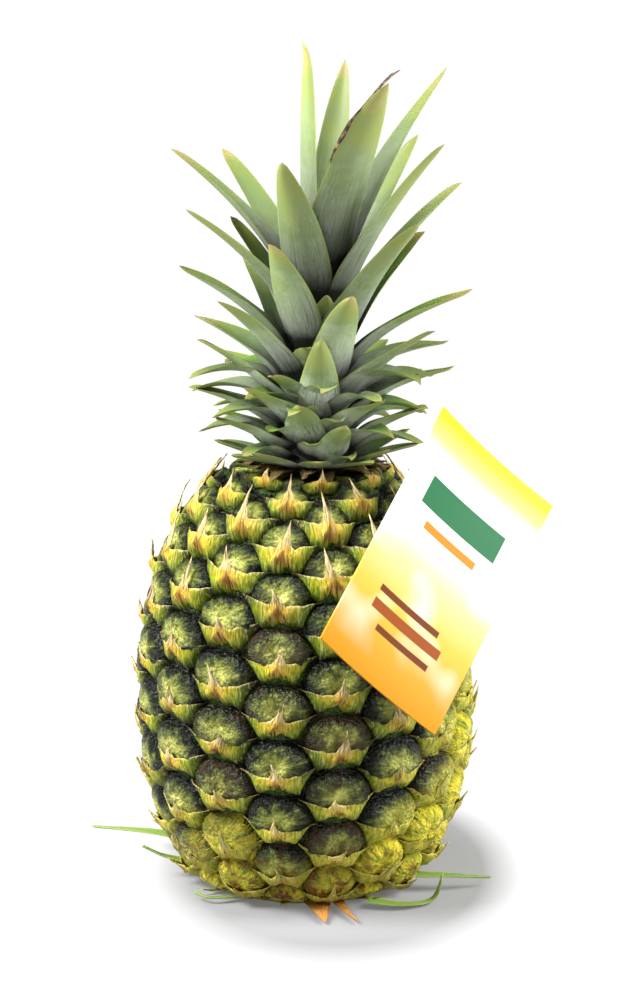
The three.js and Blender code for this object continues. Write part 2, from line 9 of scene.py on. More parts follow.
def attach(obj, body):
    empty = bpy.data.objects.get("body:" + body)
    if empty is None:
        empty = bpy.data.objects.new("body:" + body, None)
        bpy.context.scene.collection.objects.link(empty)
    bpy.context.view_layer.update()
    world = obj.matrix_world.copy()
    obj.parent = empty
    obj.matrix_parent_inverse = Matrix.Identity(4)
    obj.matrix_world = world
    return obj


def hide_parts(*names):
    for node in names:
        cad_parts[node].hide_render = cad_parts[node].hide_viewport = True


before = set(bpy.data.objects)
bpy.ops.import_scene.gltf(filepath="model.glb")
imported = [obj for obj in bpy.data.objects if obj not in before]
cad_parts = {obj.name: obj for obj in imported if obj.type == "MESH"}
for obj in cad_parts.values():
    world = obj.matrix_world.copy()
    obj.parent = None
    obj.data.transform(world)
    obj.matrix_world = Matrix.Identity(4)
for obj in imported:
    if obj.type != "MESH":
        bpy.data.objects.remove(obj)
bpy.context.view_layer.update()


# The rind of the fruit.
# Waxy, knobbly skin of a whole pineapple: a squared-off barrel covered by a spiral lattice of
# eyes, 8 gentle rows one way and 9 steep ones the other. Each eye is a dark, wrinkled dome with
# a green swelling under it, and the rind grows in one piece from the foot to the crown.
MM = 0.001
GROOVE_RADIUS = 55.4
WAIST_HEIGHT = 69.5
DEPTH_BELOW_WAIST = 81
HEIGHT_ABOVE_WAIST = 86
LOWER_SQUARENESS = 2.35
UPPER_SQUARENESS = 2.2
GENTLE_ROWS = 8
STEEP_ROWS = 9
COLUMNS = GENTLE_ROWS + STEEP_ROWS
COLUMN_ANGLE = 360 / COLUMNS
EYE_PITCH = 19.7
FIRST_EYE_RISE = 4.2
FIRST_EYE_AZIMUTH = -9.5
SHRINK_ABOVE = 0.4
SHRINK_BELOW = 0.15
CROWN_SEAT_RADIUS = 24
FOOT_SEAT_RADIUS = 22
FOOT_FADE = 13
STEM_FOOT = 150.8
SEAT_HOLLOW = 2.4
DOME_HEIGHT = 5
SWELLING_HEIGHT = 2.2


def chance(index, use):
    wave = math.sin(index * 12.9898 + use * 78.233) * 43758.5453
    return wave - math.floor(wave)


def spread(index, use, size):
    return size * (2 * chance(index, use) - 1)


def blend(a, b, t):
    return a + (b - a) * t


def smooth(t):
    held = np.clip(t, 0, 1)
    return held * held * (3 - 2 * held)


# The barrel's section, walked from the lower pole up at even steps of angle.
section_angle = np.radians(np.linspace(-90, 90, 901))
section_power = 2 / np.where(section_angle < 0, LOWER_SQUARENESS, UPPER_SQUARENESS)
section_half = np.where(section_angle < 0, -DEPTH_BELOW_WAIST, HEIGHT_ABOVE_WAIST)
section_radius = GROOVE_RADIUS * np.abs(np.cos(section_angle)) ** section_power
section_height = WAIST_HEIGHT + section_half * np.abs(np.sin(section_angle)) ** section_power
section_along = np.concatenate(
    [[0], np.cumsum(np.hypot(np.diff(section_radius), np.diff(section_height)))]
)
section_along -= section_along[np.argmax(section_height >= 0)]
section_run = np.hypot(np.gradient(section_radius), np.gradient(section_height))
section_outward = np.gradient(section_height) / section_run
section_upward = -np.gradient(section_radius) / section_run


def rind_at(along):
    return (
        np.interp(along, section_along, section_radius),
        np.interp(along, section_along, section_height),
        np.interp(along, section_along, section_outward),
        np.interp(along, section_along, section_upward),
    )


def row_step(along):
    radius, height, _, _ = rind_at(along)
    shrink = SHRINK_ABOVE if height > WAIST_HEIGHT else SHRINK_BELOW
    narrow = max(radius, CROWN_SEAT_RADIUS / 2) / GROOVE_RADIUS
    return EYE_PITCH / COLUMNS * narrow**shrink


lowest_along = section_along[np.argmax(section_radius > FOOT_SEAT_RADIUS)]
highest_along = section_along[::-1][np.argmax(section_radius[::-1] > CROWN_SEAT_RADIUS)]
eye_along = {0: FIRST_EYE_RISE}
eye = 0
while eye_along[eye] > lowest_along:
    eye_along[eye - 1] = eye_along[eye] - row_step(eye_along[eye])
    eye -= 1
lowest_eye = eye + 1
eye = 0
while eye_along[eye] < highest_along:
    eye_along[eye + 1] = eye_along[eye] + row_step(eye_along[eye])
    eye += 1
highest_eye = eye - 1
for spare in range(1, COLUMNS + 2):
    eye_along[lowest_eye - spare] = eye_along[lowest_eye - spare + 1] - EYE_PITCH / COLUMNS / 3
    eye_along[highest_eye + spare] = eye_along[highest_eye + spare - 1] + EYE_PITCH / COLUMNS / 4


def eye_azimuth(number):
    return FIRST_EYE_AZIMUTH - 2 * COLUMN_ANGLE * number


def eye_half_height(number):
    """Half the height of an eye's cell, from its middle to its upper edge."""
    top = (
        2 * eye_along[number + COLUMNS] + eye_along[number + GENTLE_ROWS] + eye_along[number + STEEP_ROWS]
        if number + COLUMNS in eye_along
        else 4 * eye_along[number] + 2 * EYE_PITCH
    )
    return (top + 2 * eye_along[number]) / 6 - eye_along[number]


def rind_place(azimuth, along, relief):
    """Points on the rind in metres, for arrays of azimuth in degrees, length and relief in mm."""
    radius, height, outward, upward = rind_at(along)
    fade = smooth((along + 2) / FOOT_FADE)
    radius = radius + outward * relief * fade
    height = np.maximum(height + upward * relief * fade, 0)
    turn = np.radians(azimuth)
    return np.stack([radius * np.sin(turn), -radius * np.cos(turn), height], axis=-1) * MM


numbers = np.arange(lowest_eye - COLUMNS, highest_eye + COLUMNS + 1)
number_along = np.array([eye_along[n] for n in numbers])
number_half = np.array([eye_half_height(n) if n + COLUMNS in eye_along else 9.0 for n in numbers])
number_azimuth = eye_azimuth(numbers)


def own_eye(azimuth, along):
    """For each place: the eye whose cell holds it, and the place in that cell, each way -1 to 1."""
    near = np.interp(along, number_along, np.arange(len(numbers))).round().astype(int)
    best = np.full(azimuth.shape, 1e9)
    found = np.zeros(azimuth.shape, int)
    cell_x = np.zeros(azimuth.shape)
    cell_y = np.zeros(azimuth.shape)
    for offset in range(-14, 15):
        index = np.clip(near + offset, 0, len(numbers) - 1)
        turn = (azimuth - number_azimuth[index] + 180) % 360 - 180
        x = turn / (COLUMN_ANGLE * 2 / 3)
        y = (along - number_along[index]) / number_half[index]
        edge = np.maximum(np.abs(y), np.abs(x) + np.abs(y) / 2)
        closer = edge < best
        best = np.where(closer, edge, best)
        found = np.where(closer, index, found)
        cell_x = np.where(closer, x, cell_x)
        cell_y = np.where(closer, y, cell_y)
    return found, cell_x, cell_y, best


def eye_relief(index, x, y):
    """Height over the groove, in mm: the lumpy dome, and the swelling that carries the scale."""
    number = numbers[index]
    wave = np.sin(number * 12.9898 + 78.233) * 43758.5453
    vary = 2 * (wave - np.floor(wave)) - 1
    size = (np.interp(number_along[index], section_along, section_radius) / GROOVE_RADIUS) ** 0.5
    dome_edge = ((np.abs(x) / 0.9) ** 2.4 + (np.abs(y - 0.2) / 0.8) ** 2.4) ** (1 / 2.4)
    dome = DOME_HEIGHT * (1 + 0.1 * vary) * (1 - np.clip(dome_edge, 0, 1) ** 4) ** 0.62
    dome -= 1.4 * np.exp(-((x / 0.16) ** 2) - ((y - 0.1) / 0.34) ** 2)
    lumps = np.sin(7 * x + 2.3 * number) * np.sin(6 * y + 1.1 * number)
    lumps += 0.7 * np.sin(13 * x - 5 * y + number) * np.sin(11 * y + 4 * x + 2 * number)
    wrinkle = np.sin(19 * np.arctan2(y - 0.15, x) + 4 * dome_edge + number)
    wrinkle *= smooth((dome_edge - 0.3) / 0.5)
    dome += np.where(dome > 0.3, 0.22 * lumps + 0.17 * wrinkle, 0)
    wide = 0.5 + 0.4 * np.clip(y + 0.8, 0, 1)
    swelling_edge = ((np.abs(x) / wide) ** 2.6 + (np.abs(y + 0.45) / 0.56) ** 2.6) ** (1 / 2.6)
    swelling = SWELLING_HEIGHT * (1 - np.clip(swelling_edge, 0, 1) ** 3) ** 0.6
    return size * np.maximum(dome, swelling)


def face_outward(shape):
    """Turns each closed body of a bmesh so that its faces point out of it."""
    bmesh.ops.recalc_face_normals(shape, faces=shape.faces)
    for face in shape.faces:
        face.tag = False
    for first in shape.faces:
        if first.tag:
            continue
        first.tag = True
        body = [first]
        for face in body:
            near = [other for edge in face.edges for other in edge.link_faces if not other.tag]
            for other in near:
                if not other.tag:
                    other.tag = True
                    body.append(other)
        volume = 0.0
        for face in body:
            places = [vert.co for vert in face.verts]
            for a, b in zip(places[1:], places[2:]):
                volume += places[0].dot(a.cross(b))
        if volume < 0:
            bmesh.ops.reverse_faces(shape, faces=body)


RIND_ACROSS = 440
RIND_UP = 214
UNDERSIDE_SHARE = 0.03
SEAT_SHARE = 0.98
rind_mesh = bpy.data.meshes.new("rind")
rind_shape = bmesh.new()
bmesh.ops.create_grid(rind_shape, x_segments=RIND_ACROSS, y_segments=RIND_UP, size=0.5)
rind_shape.to_mesh(rind_mesh)
rind_shape.free()
flat = np.zeros(len(rind_mesh.vertices) * 3)
rind_mesh.vertices.foreach_get("co", flat)
flat = flat.reshape(-1, 3)
flat_azimuth = flat[:, 0] * 360
flat_share = flat[:, 1] + 0.5
rise_share = (flat_share - UNDERSIDE_SHARE) / (SEAT_SHARE - UNDERSIDE_SHARE)
flat_along = blend(0, highest_along, np.clip(rise_share, 0, 1))
found, cell_x, cell_y, _ = own_eye(flat_azimuth, flat_along)
places = rind_place(flat_azimuth, flat_along, eye_relief(found, cell_x, cell_y))
# The underside runs in flat to the axis, and the seat of the crown is a shallow cup.
inward = np.clip(flat_share / UNDERSIDE_SHARE, 0, 1)
places *= inward[:, None]
seat = np.clip((flat_share - SEAT_SHARE) / (1 - SEAT_SHARE), 0, 1)
places[:, :2] *= 1 - seat[:, None]
places[:, 2] = blend(places[:, 2], (STEM_FOOT - SEAT_HOLLOW) * MM, seat)
# Each face takes its place in its own eye's cell, so that the painting breaks at the grooves.
corner_vertex = np.zeros(len(rind_mesh.loops), int)
rind_mesh.loops.foreach_get("vertex_index", corner_vertex)
face_corners = corner_vertex.reshape(-1, 4)
face_index = own_eye(flat_azimuth[face_corners].mean(axis=1), flat_along[face_corners].mean(axis=1))[0]
corner_index = np.repeat(face_index, 4)
corner_turn = (flat_azimuth[corner_vertex] - number_azimuth[corner_index] + 180) % 360 - 180
eye_map = rind_mesh.uv_layers.new(name="eye")
eye_map.data.foreach_set(
    "uv",
    np.stack(
        [
            corner_turn / (COLUMN_ANGLE * 2 / 3),
            (flat_along[corner_vertex] - number_along[corner_index]) / number_half[corner_index],
        ],
        axis=-1,
    ).ravel(),
)
tone_map = rind_mesh.uv_layers.new(name="tone")
tones = np.array([[chance(int(n), 11), chance(int(n), 12)] for n in numbers])
tone_map.data.foreach_set("uv", tones[corner_index].ravel())
rind_mesh.vertices.foreach_set("co", places.ravel())
rind_shape = bmesh.new()
rind_shape.from_mesh(rind_mesh)
bmesh.ops.remove_doubles(rind_shape, verts=rind_shape.verts, dist=1e-6)
face_outward(rind_shape)
rind_shape.to_mesh(rind_mesh)
rind_shape.free()
rind_mesh.shade_smooth()


def new_piece(name, mesh):
    """An object at the origin that shows a mesh."""
    piece = bpy.data.objects.new(name, mesh)
    bpy.context.scene.collection.objects.link(piece)
    return piece


rind = new_piece("rind", rind_mesh)


def linear(hex_colour):
    """An sRGB hex value as the linear colour that a node takes."""
    parts = [int(hex_colour[i : i + 2], 16) / 255 for i in (1, 3, 5)]
    return tuple(c / 12.92 if c <= 0.04045 else ((c + 0.055) / 1.055) ** 2.4 for c in parts) + (1.0,)


# What a Mix node needs to mix colours, its colour result among them.
RGBA = {"out": 2, "data_type": "RGBA"}


def add(tree, kind, inputs, out=0, stops=None, **settings):
    """Adds a node with its settings and links, and returns the output asked for."""
    node = tree.nodes.new("ShaderNode" + kind)
    for name, value in settings.items():
        setattr(node, name, value)
    for name, value in inputs.items():
        if isinstance(value, bpy.types.NodeSocket):
            tree.links.new(value, node.inputs[name])
        else:
            node.inputs[name].default_value = value
    if stops:
        ramp = node.color_ramp
        while len(ramp.elements) < len(stops):
            ramp.elements.new(0.5)
        for element, (place, colour) in zip(ramp.elements, stops):
            element.position = place
            element.color = linear(colour)
    return node.outputs[out] if node.outputs else node


def new_material(name):
    material = bpy.data.materials.new(name)
    material.use_nodes = True
    material.node_tree.nodes.clear()
    return material, material.node_tree


# Pineapple skin: living, waxy plant tissue. The domes are near black green at their rims with
# fine radial wrinkles that catch the light, and open into a paler yellow-green burst. The near
# black runs on past the rims into the grooves, and the swellings under the scales are painted dark
# green: both are partly the skin's own colour and partly painted shade in the crevices.
rind_skin, tree = new_material("waxy_pineapple_skin")
own_place = add(tree, "TexCoord", {}, out=3)
eye_place = add(tree, "UVMap", {}, uv_map="eye")
eye_tone = add(tree, "SeparateXYZ", {0: add(tree, "UVMap", {}, uv_map="tone")}, out=0)
from_dome = add(
    tree,
    "VectorMath",
    {0: eye_place, 1: (1 / 0.9, 1 / 0.8, 0), 2: (0, -0.19, 0)},
    operation="MULTIPLY_ADD",
)
dome_edge = add(tree, "VectorMath", {0: from_dome}, out=1, operation="LENGTH")
ray = add(tree, "VectorMath", {0: from_dome}, operation="NORMALIZE")
tone_offset = add(tree, "Math", {0: eye_tone, 1: 37.0}, operation="MULTIPLY")
depth_offset = add(tree, "Math", {0: dome_edge, 1: 1.6, 2: tone_offset}, operation="MULTIPLY_ADD")
ray_place = add(tree, "CombineXYZ", {2: depth_offset})
ray_place = add(tree, "VectorMath", {0: ray, 1: (4, 4, 4), 2: ray_place}, operation="MULTIPLY_ADD")
streaks = add(tree, "TexNoise", {"Vector": ray_place, "Scale": 1.0, "Detail": 3.0, "Roughness": 0.6})
fine_place = add(tree, "VectorMath", {0: ray_place, 1: (4.5, 4.5, 2.5)}, operation="MULTIPLY")
fine = add(tree, "TexNoise", {"Vector": fine_place, "Scale": 1.0, "Detail": 2.0, "Roughness": 0.7})
blotch = add(tree, "TexNoise", {"Vector": own_place, "Scale": 210.0, "Detail": 4.0, "Roughness": 0.65})
pebble = add(tree, "TexVoronoi", {"Vector": own_place, "Scale": 750.0, "Randomness": 1.0})
shifted = add(tree, "Math", {0: streaks, 1: 0.7, 2: dome_edge}, operation="MULTIPLY_ADD")
shifted = add(tree, "Math", {0: fine, 1: 0.4, 2: shifted}, operation="MULTIPLY_ADD")
shifted = add(tree, "Math", {0: blotch, 1: 1.3, 2: shifted}, operation="MULTIPLY_ADD")
shifted = add(tree, "Math", {0: shifted, 1: 1.08}, operation="SUBTRACT")
# The ramp's near black end is the dark rim, and past the rim, in the grooves, painted shade.
dome_colour = add(
    tree,
    "ValToRGB",
    {0: shifted},
    stops=[
        (0.0, "#dfd884"), (0.2, "#b0b45a"), (0.46, "#82873c"), (0.7, "#4c5420"), (0.9, "#19230b"),
        (1.0, "#060902"),
    ],
)
# Some eyes are brownish, as they ripen or dry, and all of them have brown patches.
brown_share = add(tree, "MapRange", {0: eye_tone, 1: 0.8, 2: 1.0, 4: 0.3})
brown_share = add(tree, "Math", {0: blotch, 1: brown_share}, operation="ADD")
brown_share = add(tree, "MapRange", {0: brown_share, 1: 0.62, 2: 0.86, 4: 0.65})
dome_colour = add(tree, "Mix", {0: brown_share, 6: dome_colour, 7: linear("#3f2f18")}, **RGBA)
place_y = add(tree, "SeparateXYZ", {0: eye_place}, out=1)
# The swelling under each scale is painted dark green, partly its own colour and partly painted shade under
# the scale.
swelling_share = add(tree, "MapRange", {0: place_y, 1: -0.42, 2: -0.62})
swelling_colour_and_shade = add(
    tree,
    "ValToRGB",
    {0: add(tree, "MapRange", {0: fine, 1: 0.3, 2: 0.7})},
    stops=[(0.0, "#14200a"), (0.5, "#2c4212"), (1.0, "#4a641f")],
)
skin_colour = add(tree, "Mix", {0: swelling_share, 6: dome_colour, 7: swelling_colour_and_shade}, **RGBA)
# The fruit ripens from its foot, where the rind turns yellow, and the rind is yellower towards its right
# side too.
height = add(tree, "SeparateXYZ", {0: own_place}, out=2)
patch = add(tree, "TexNoise", {"Vector": own_place, "Scale": 28.0, "Detail": 2.0, "Roughness": 0.5})
ripe_height = add(tree, "Math", {0: patch, 1: -0.05, 2: height}, operation="MULTIPLY_ADD")
ripe_height = add(tree, "Math", {0: eye_tone, 1: 0.024, 2: ripe_height}, operation="MULTIPLY_ADD")
to_right = add(tree, "SeparateXYZ", {0: own_place}, out=0)
yellower_right = add(tree, "MapRange", {0: to_right, 1: 0.02, 2: 0.06, 4: 0.05})
ripe_height = add(tree, "Math", {0: ripe_height, 1: yellower_right}, operation="SUBTRACT")
ripe_share = add(tree, "MapRange", {0: ripe_height, 1: 0.02, 2: -0.004, 4: 0.9})
ripe_colour = add(
    tree,
    "ValToRGB",
    {0: streaks},
    stops=[(0.3, "#5c6a16"), (0.43, "#a2a622"), (0.54, "#dccb2c"), (0.72, "#f4e34c")],
)
skin_colour = add(tree, "Mix", {0: ripe_share, 6: skin_colour, 7: ripe_colour}, **RGBA)
scar_share = add(tree, "MapRange", {0: height, 1: 0.034, 2: 0.006})
scar_blotch = add(tree, "MapRange", {0: blotch, 1: 0.5, 2: 0.58})
scar_share = add(tree, "Math", {0: scar_share, 1: scar_blotch}, operation="MULTIPLY")
skin_colour = add(tree, "Mix", {0: scar_share, 6: skin_colour, 7: linear("#6a3c16")}, **RGBA)
wrinkle_share = add(tree, "MapRange", {0: dome_edge, 1: 0.25, 2: 0.85, 3: 0.15})
wrinkle = add(tree, "Math", {0: fine, 1: wrinkle_share}, operation="MULTIPLY")
wrinkle = add(tree, "Math", {0: pebble, 1: 0.8, 2: wrinkle}, operation="MULTIPLY_ADD")
wrinkle = add(tree, "Math", {0: blotch, 1: 1.2, 2: wrinkle}, operation="MULTIPLY_ADD")
skin_bump = add(tree, "Bump", {"Height": wrinkle, "Strength": 1.0, "Distance": 0.0009})
skin_rough = add(tree, "MapRange", {0: blotch, 1: 0.35, 2: 0.65, 3: 0.14, 4: 0.46})
skin = add(
    tree,
    "BsdfPrincipled",
    {
        "Base Color": skin_colour,
        "Roughness": skin_rough,
        "Normal": skin_bump,
        "IOR": 1.45,
        "Specular IOR Level": 0.28,
    },
)
add(tree, "OutputMaterial", {"Surface": skin})
rind_mesh.materials.append(rind_skin)
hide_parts("fruit")
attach(rind, "root")


# The leafy scales on the eyes.
# Over the lower half of every eye lies a papery scale: two wings out to the neighbouring eyes, a
# keel down the middle and a dry spine that stands over the dome. It grows from the rind.
SCALE_ACROSS = 18
SCALE_UP = 7
SCALE_THICKNESS = 0.4
LEG_X = 0.5
TOP_GROWTH = 0.28
FOOT_GROWTH = 0.2
SPINE_HALF_WIDTH = 0.24
SPINE_LENGTH = 0.66
SHEET_HEIGHT = 5.2
KEEL_HEIGHT = 1.1
SPINE_STAND = 1.4
scale_shape = bmesh.new()
scale_map = scale_shape.loops.layers.uv.new("scale")
scale_cell = scale_shape.loops.layers.uv.new("cell")
scale_tone = scale_shape.loops.layers.uv.new("tone")
for number in range(lowest_eye, highest_eye + 1):
    half = eye_half_height(number)
    middle = eye_along[number]
    size = float((np.interp(middle, section_along, section_radius) / GROOVE_RADIUS) ** 0.5)
    # The spines are longest in the top rows, where the bracts dry first.
    spine = SPINE_LENGTH * (1 + spread(number, 3, 0.4)) * (1 + 0.5 * float(smooth((middle - 105) / 35)))
    lean = spread(number, 2, 0.24)
    leg_x = LEG_X + spread(number, 17, 0.08)
    grow = 1 + TOP_GROWTH * float(smooth((middle - 100) / 40))
    grow += FOOT_GROWTH * float(smooth((40 - middle) / 40))
    stand = 1 + spread(number, 4, 0.5)
    hook = spread(number, 9, 0.1)
    sheet = bmesh.ops.create_grid(scale_shape, x_segments=SCALE_ACROSS, y_segments=SCALE_UP, size=1.0)
    verts = sheet["verts"]
    grid = np.array([v.co[:] for v in verts])
    s = np.sign(grid[:, 0]) * np.abs(grid[:, 0]) ** 1.5
    t = (grid[:, 1] + 1) / 2
    off = np.abs(s)
    point = np.clip(1 - off / SPINE_HALF_WIDTH, 0, 1)
    ragged = 0.04 * np.sin(17 * s + number) + 0.03 * np.sin(37 * s + 2 * number)
    # The free edge dips from the wing tips to the spine; the lower edge has a leg on each side.
    edge = -0.3 + (0.3 + spread(number, 6, 0.13) * np.sign(s)) * off**1.2
    top = edge + spine * point**1.7 + ragged * (1 - point) * (1 - off)
    arch = -0.88 - 0.16 * np.minimum(off / leg_x, 1) ** 2 + 0.8 * ragged
    arch += spread(number, 18, 0.1) * np.sign(s)
    flank = (1 - np.clip((off - leg_x) / (1 - leg_x), 0, 1)) ** 1.6
    bottom = np.minimum(arch * flank, edge - 0.01)
    y = blend(bottom, top, t)
    x = s * (1 - 0.5 * point * t) + lean * point**0.7 * t**2 + hook * point**3 * t**6
    ridge = off - leg_x * np.clip((-y - 0.3) / 0.7, 0, 1)
    rise = np.sin(np.clip(1.15 * (y - bottom) / (edge - bottom) + 0.04, 0, 1) * math.pi / 2)
    height_mm = SHEET_HEIGHT * rise**0.75 * (1 - 0.68 * off**2)
    height_mm += KEEL_HEIGHT * np.exp(-((ridge / 0.07) ** 2)) * (0.3 + 0.7 * rise)
    hollow = np.exp(-((s / 0.22) ** 2) - ((y + 0.62) / 0.2) ** 2)
    height_mm -= (0.9 + spread(number, 10, 0.7)) * hollow
    height_mm += 0.35 * np.sin(6 * x + 1.7 * number) * np.sin(7 * y + number) * rise
    height_mm += SPINE_STAND * stand * point * t**4 + spread(number, 5, 0.5) * s * t
    height_mm += (0.2 * np.sin(23 * s + 3 * t + number) + 0.13 * np.sin(47 * s + number)) * rise
    placed = rind_place(
        eye_azimuth(number) + grow * x * COLUMN_ANGLE * 2 / 3,
        middle + (grow * (y + 0.4) - 0.4) * half,
        size * grow * height_mm - 0.35 * (t < 0.01),
    )
    marks = {}
    for vert, place, mark in zip(verts, placed, zip(s, t, x, y)):
        vert.co = place
        marks[vert] = mark
    for face in {f for v in verts for f in v.link_faces}:
        for loop in face.loops:
            mark = marks[loop.vert]
            loop[scale_map].uv = mark[:2]
            loop[scale_cell].uv = mark[2:]
            loop[scale_tone].uv = (chance(number, 13), chance(number, 14))
# Each sheet gets its thickness by an extrusion towards the middle of the fruit.
back = bmesh.ops.extrude_face_region(scale_shape, geom=scale_shape.faces[:], use_keep_orig=True)
fruit_middle = Vector((0, 0, WAIST_HEIGHT * MM))
for vert in [v for v in back["geom"] if isinstance(v, bmesh.types.BMVert)]:
    vert.co += (fruit_middle - vert.co).normalized() * SCALE_THICKNESS * MM
face_outward(scale_shape)
scales_mesh = bpy.data.meshes.new("eye_scales")
scale_shape.to_mesh(scales_mesh)
scale_shape.free()
scales_mesh.shade_smooth()
scales = new_piece("eye_scales", scales_mesh)

# Papery bract: yellow in its middle, green and then dark green out to its wing tips and legs,
# brown and fibrous under the spine, and bleached cream at its free edge and up the spine.
scale_skin, tree = new_material("papery_bract")
scale_place = add(tree, "UVMap", {}, uv_map="scale")
cell_place = add(tree, "UVMap", {}, uv_map="cell")
scale_t = add(tree, "SeparateXYZ", {0: scale_place}, out=1)
cell_y_place = add(tree, "SeparateXYZ", {0: cell_place}, out=1)
cell_x_place = add(tree, "SeparateXYZ", {0: cell_place}, out=0)
off_middle = add(tree, "Math", {0: cell_x_place}, operation="ABSOLUTE")
scale_tones = add(tree, "UVMap", {}, uv_map="tone")
tone_1 = add(tree, "SeparateXYZ", {0: scale_tones}, out=0)
tone_2 = add(tree, "SeparateXYZ", {0: scale_tones}, out=1)
tone_shift = add(tree, "Math", {0: tone_1, 1: 41.0}, operation="MULTIPLY")
tone_shift = add(tree, "CombineXYZ", {2: tone_shift})
fibre_place = add(
    tree, "VectorMath", {0: scale_place, 1: (9, 1.6, 0), 2: tone_shift}, operation="MULTIPLY_ADD"
)
fibre = add(tree, "TexNoise", {"Vector": fibre_place, "Scale": 1.0, "Detail": 4.0, "Roughness": 0.65})
hair_place = add(
    tree, "VectorMath", {0: scale_place, 1: (26, 2.6, 0), 2: tone_shift}, operation="MULTIPLY_ADD"
)
hair = add(tree, "TexNoise", {"Vector": hair_place, "Scale": 1.0, "Detail": 3.0, "Roughness": 0.6})
ridge_x = add(tree, "MapRange", {0: cell_y_place, 1: -0.3, 2: -1.0, 4: 0.5})
from_ridge = add(tree, "Math", {0: off_middle, 1: ridge_x}, operation="SUBTRACT")
star_place = add(
    tree, "VectorMath", {0: cell_place, 1: (0.98, 1.25, 0), 2: (0, 0.44, 0)}, operation="MULTIPLY_ADD"
)
from_star = add(tree, "VectorMath", {0: star_place}, out=1, operation="LENGTH")
outwards = add(tree, "Math", {0: fibre, 1: 0.6, 2: from_star}, operation="MULTIPLY_ADD")
outwards = add(tree, "Math", {0: outwards, 1: 0.3}, operation="SUBTRACT")
papery = add(
    tree,
    "ValToRGB",
    {0: outwards},
    stops=[
        (0.1, "#e0b83c"), (0.25, "#ccbc26"), (0.42, "#a8aa14"), (0.6, "#70870d"), (0.78, "#39500a"),
        (0.95, "#122205"),
    ],
)
# Between the two ridges under the spine the bract is dry and brown.
inside = add(tree, "MapRange", {0: from_ridge, 1: 0.04, 2: -0.08})
low = add(tree, "MapRange", {0: cell_y_place, 1: -1.0, 2: -0.6, 3: 0.5})
brown_hair = add(tree, "MapRange", {0: hair, 1: 0.4, 2: 0.5, 3: 0.3})
brown_eye = add(tree, "MapRange", {0: tone_1, 1: 0.0, 2: 0.7, 3: 0.65})
near_star = add(tree, "MapRange", {0: from_star, 1: 0.62, 2: 0.3})
brown = inside
for limit in (low, brown_hair, brown_eye, near_star):
    brown = add(tree, "Math", {0: brown, 1: limit}, operation="MULTIPLY")
brown_colour = add(
    tree,
    "ValToRGB",
    {0: fibre},
    stops=[(0.3, "#3a1d0a"), (0.44, "#8c4c18"), (0.55, "#c07f30"), (0.7, "#e6c27c")],
)
papery = add(tree, "Mix", {0: brown, 6: papery, 7: brown_colour}, **RGBA)
# The skin has split there too, along a few black fissures.
fissure = add(tree, "MapRange", {0: hair, 1: 0.49, 2: 0.42, 4: 0.9})
fissure = add(tree, "Math", {0: fissure, 1: inside}, operation="MULTIPLY")
fissure_low = add(tree, "MapRange", {0: cell_y_place, 1: -0.95, 2: -0.7, 3: 0.2})
fissure = add(tree, "Math", {0: fissure, 1: fissure_low}, operation="MULTIPLY")
papery = add(tree, "Mix", {0: fissure, 6: papery, 7: linear("#1d1008")}, **RGBA)
# Rusty fibres run up to the foot of the spine and out along the wings.
rust = add(tree, "MapRange", {0: cell_y_place, 1: -0.62, 2: -0.3})
rust_hair = add(tree, "MapRange", {0: hair, 1: 0.46, 2: 0.6})
rust_across = add(tree, "MapRange", {0: off_middle, 1: 0.55, 2: 0.1, 3: 0.1, 4: 0.75})
for limit in (rust_hair, rust_across):
    rust = add(tree, "Math", {0: rust, 1: limit}, operation="MULTIPLY")
papery = add(tree, "Mix", {0: rust, 6: papery, 7: linear("#a05a22")}, **RGBA)
# The free edge and the spine are bleached and dry.
edge_share = add(tree, "Math", {0: fibre, 1: 0.16, 2: scale_t}, operation="MULTIPLY_ADD")
edge_share = add(tree, "MapRange", {0: edge_share, 1: 1.0, 2: 1.07, 4: 0.6})
papery = add(tree, "Mix", {0: edge_share, 6: papery, 7: linear("#d9bd84")}, **RGBA)
spine_up = add(tree, "Math", {0: fibre, 1: 0.4, 2: cell_y_place}, operation="MULTIPLY_ADD")
spine_up = add(tree, "MapRange", {0: spine_up, 1: -0.12, 2: 0.1, 4: 0.95})
spine_across = add(tree, "MapRange", {0: off_middle, 1: 0.34, 2: 0.2})
spine_share = add(tree, "Math", {0: spine_up, 1: spine_across}, operation="MULTIPLY")
spine_colour = add(
    tree, "ValToRGB", {0: hair}, stops=[(0.3, "#a5713a"), (0.5, "#dcc48c"), (0.7, "#efe3bb")]
)
papery = add(tree, "Mix", {0: spine_share, 6: papery, 7: spine_colour}, **RGBA)
# The lowest bracts are ripe yellow, and those on the right are yellower too.
bract_place = add(tree, "TexCoord", {}, out=3)
height = add(tree, "SeparateXYZ", {0: bract_place}, out=2)
to_right = add(tree, "SeparateXYZ", {0: bract_place}, out=0)
yellower_right = add(tree, "MapRange", {0: to_right, 1: 0.015, 2: 0.06, 4: 0.06})
ripe_height = add(tree, "Math", {0: height, 1: yellower_right}, operation="SUBTRACT")
ripe_share = add(tree, "MapRange", {0: ripe_height, 1: 0.055, 2: 0.01, 4: 0.7})
ripe_bract = add(
    tree,
    "ValToRGB",
    {0: fibre},
    stops=[(0.32, "#6f8e16"), (0.46, "#b4bc24"), (0.58, "#ead83c"), (0.72, "#f6e68c")],
)
papery = add(tree, "Mix", {0: ripe_share, 6: papery, 7: ripe_bract}, **RGBA)
scar = add(tree, "MapRange", {0: height, 1: 0.03, 2: 0.006})
scar_hair = add(tree, "MapRange", {0: hair, 1: 0.5, 2: 0.62})
scar = add(tree, "Math", {0: scar, 1: scar_hair}, operation="MULTIPLY")
papery = add(tree, "Mix", {0: scar, 6: papery, 7: linear("#8a4e1a")}, **RGBA)
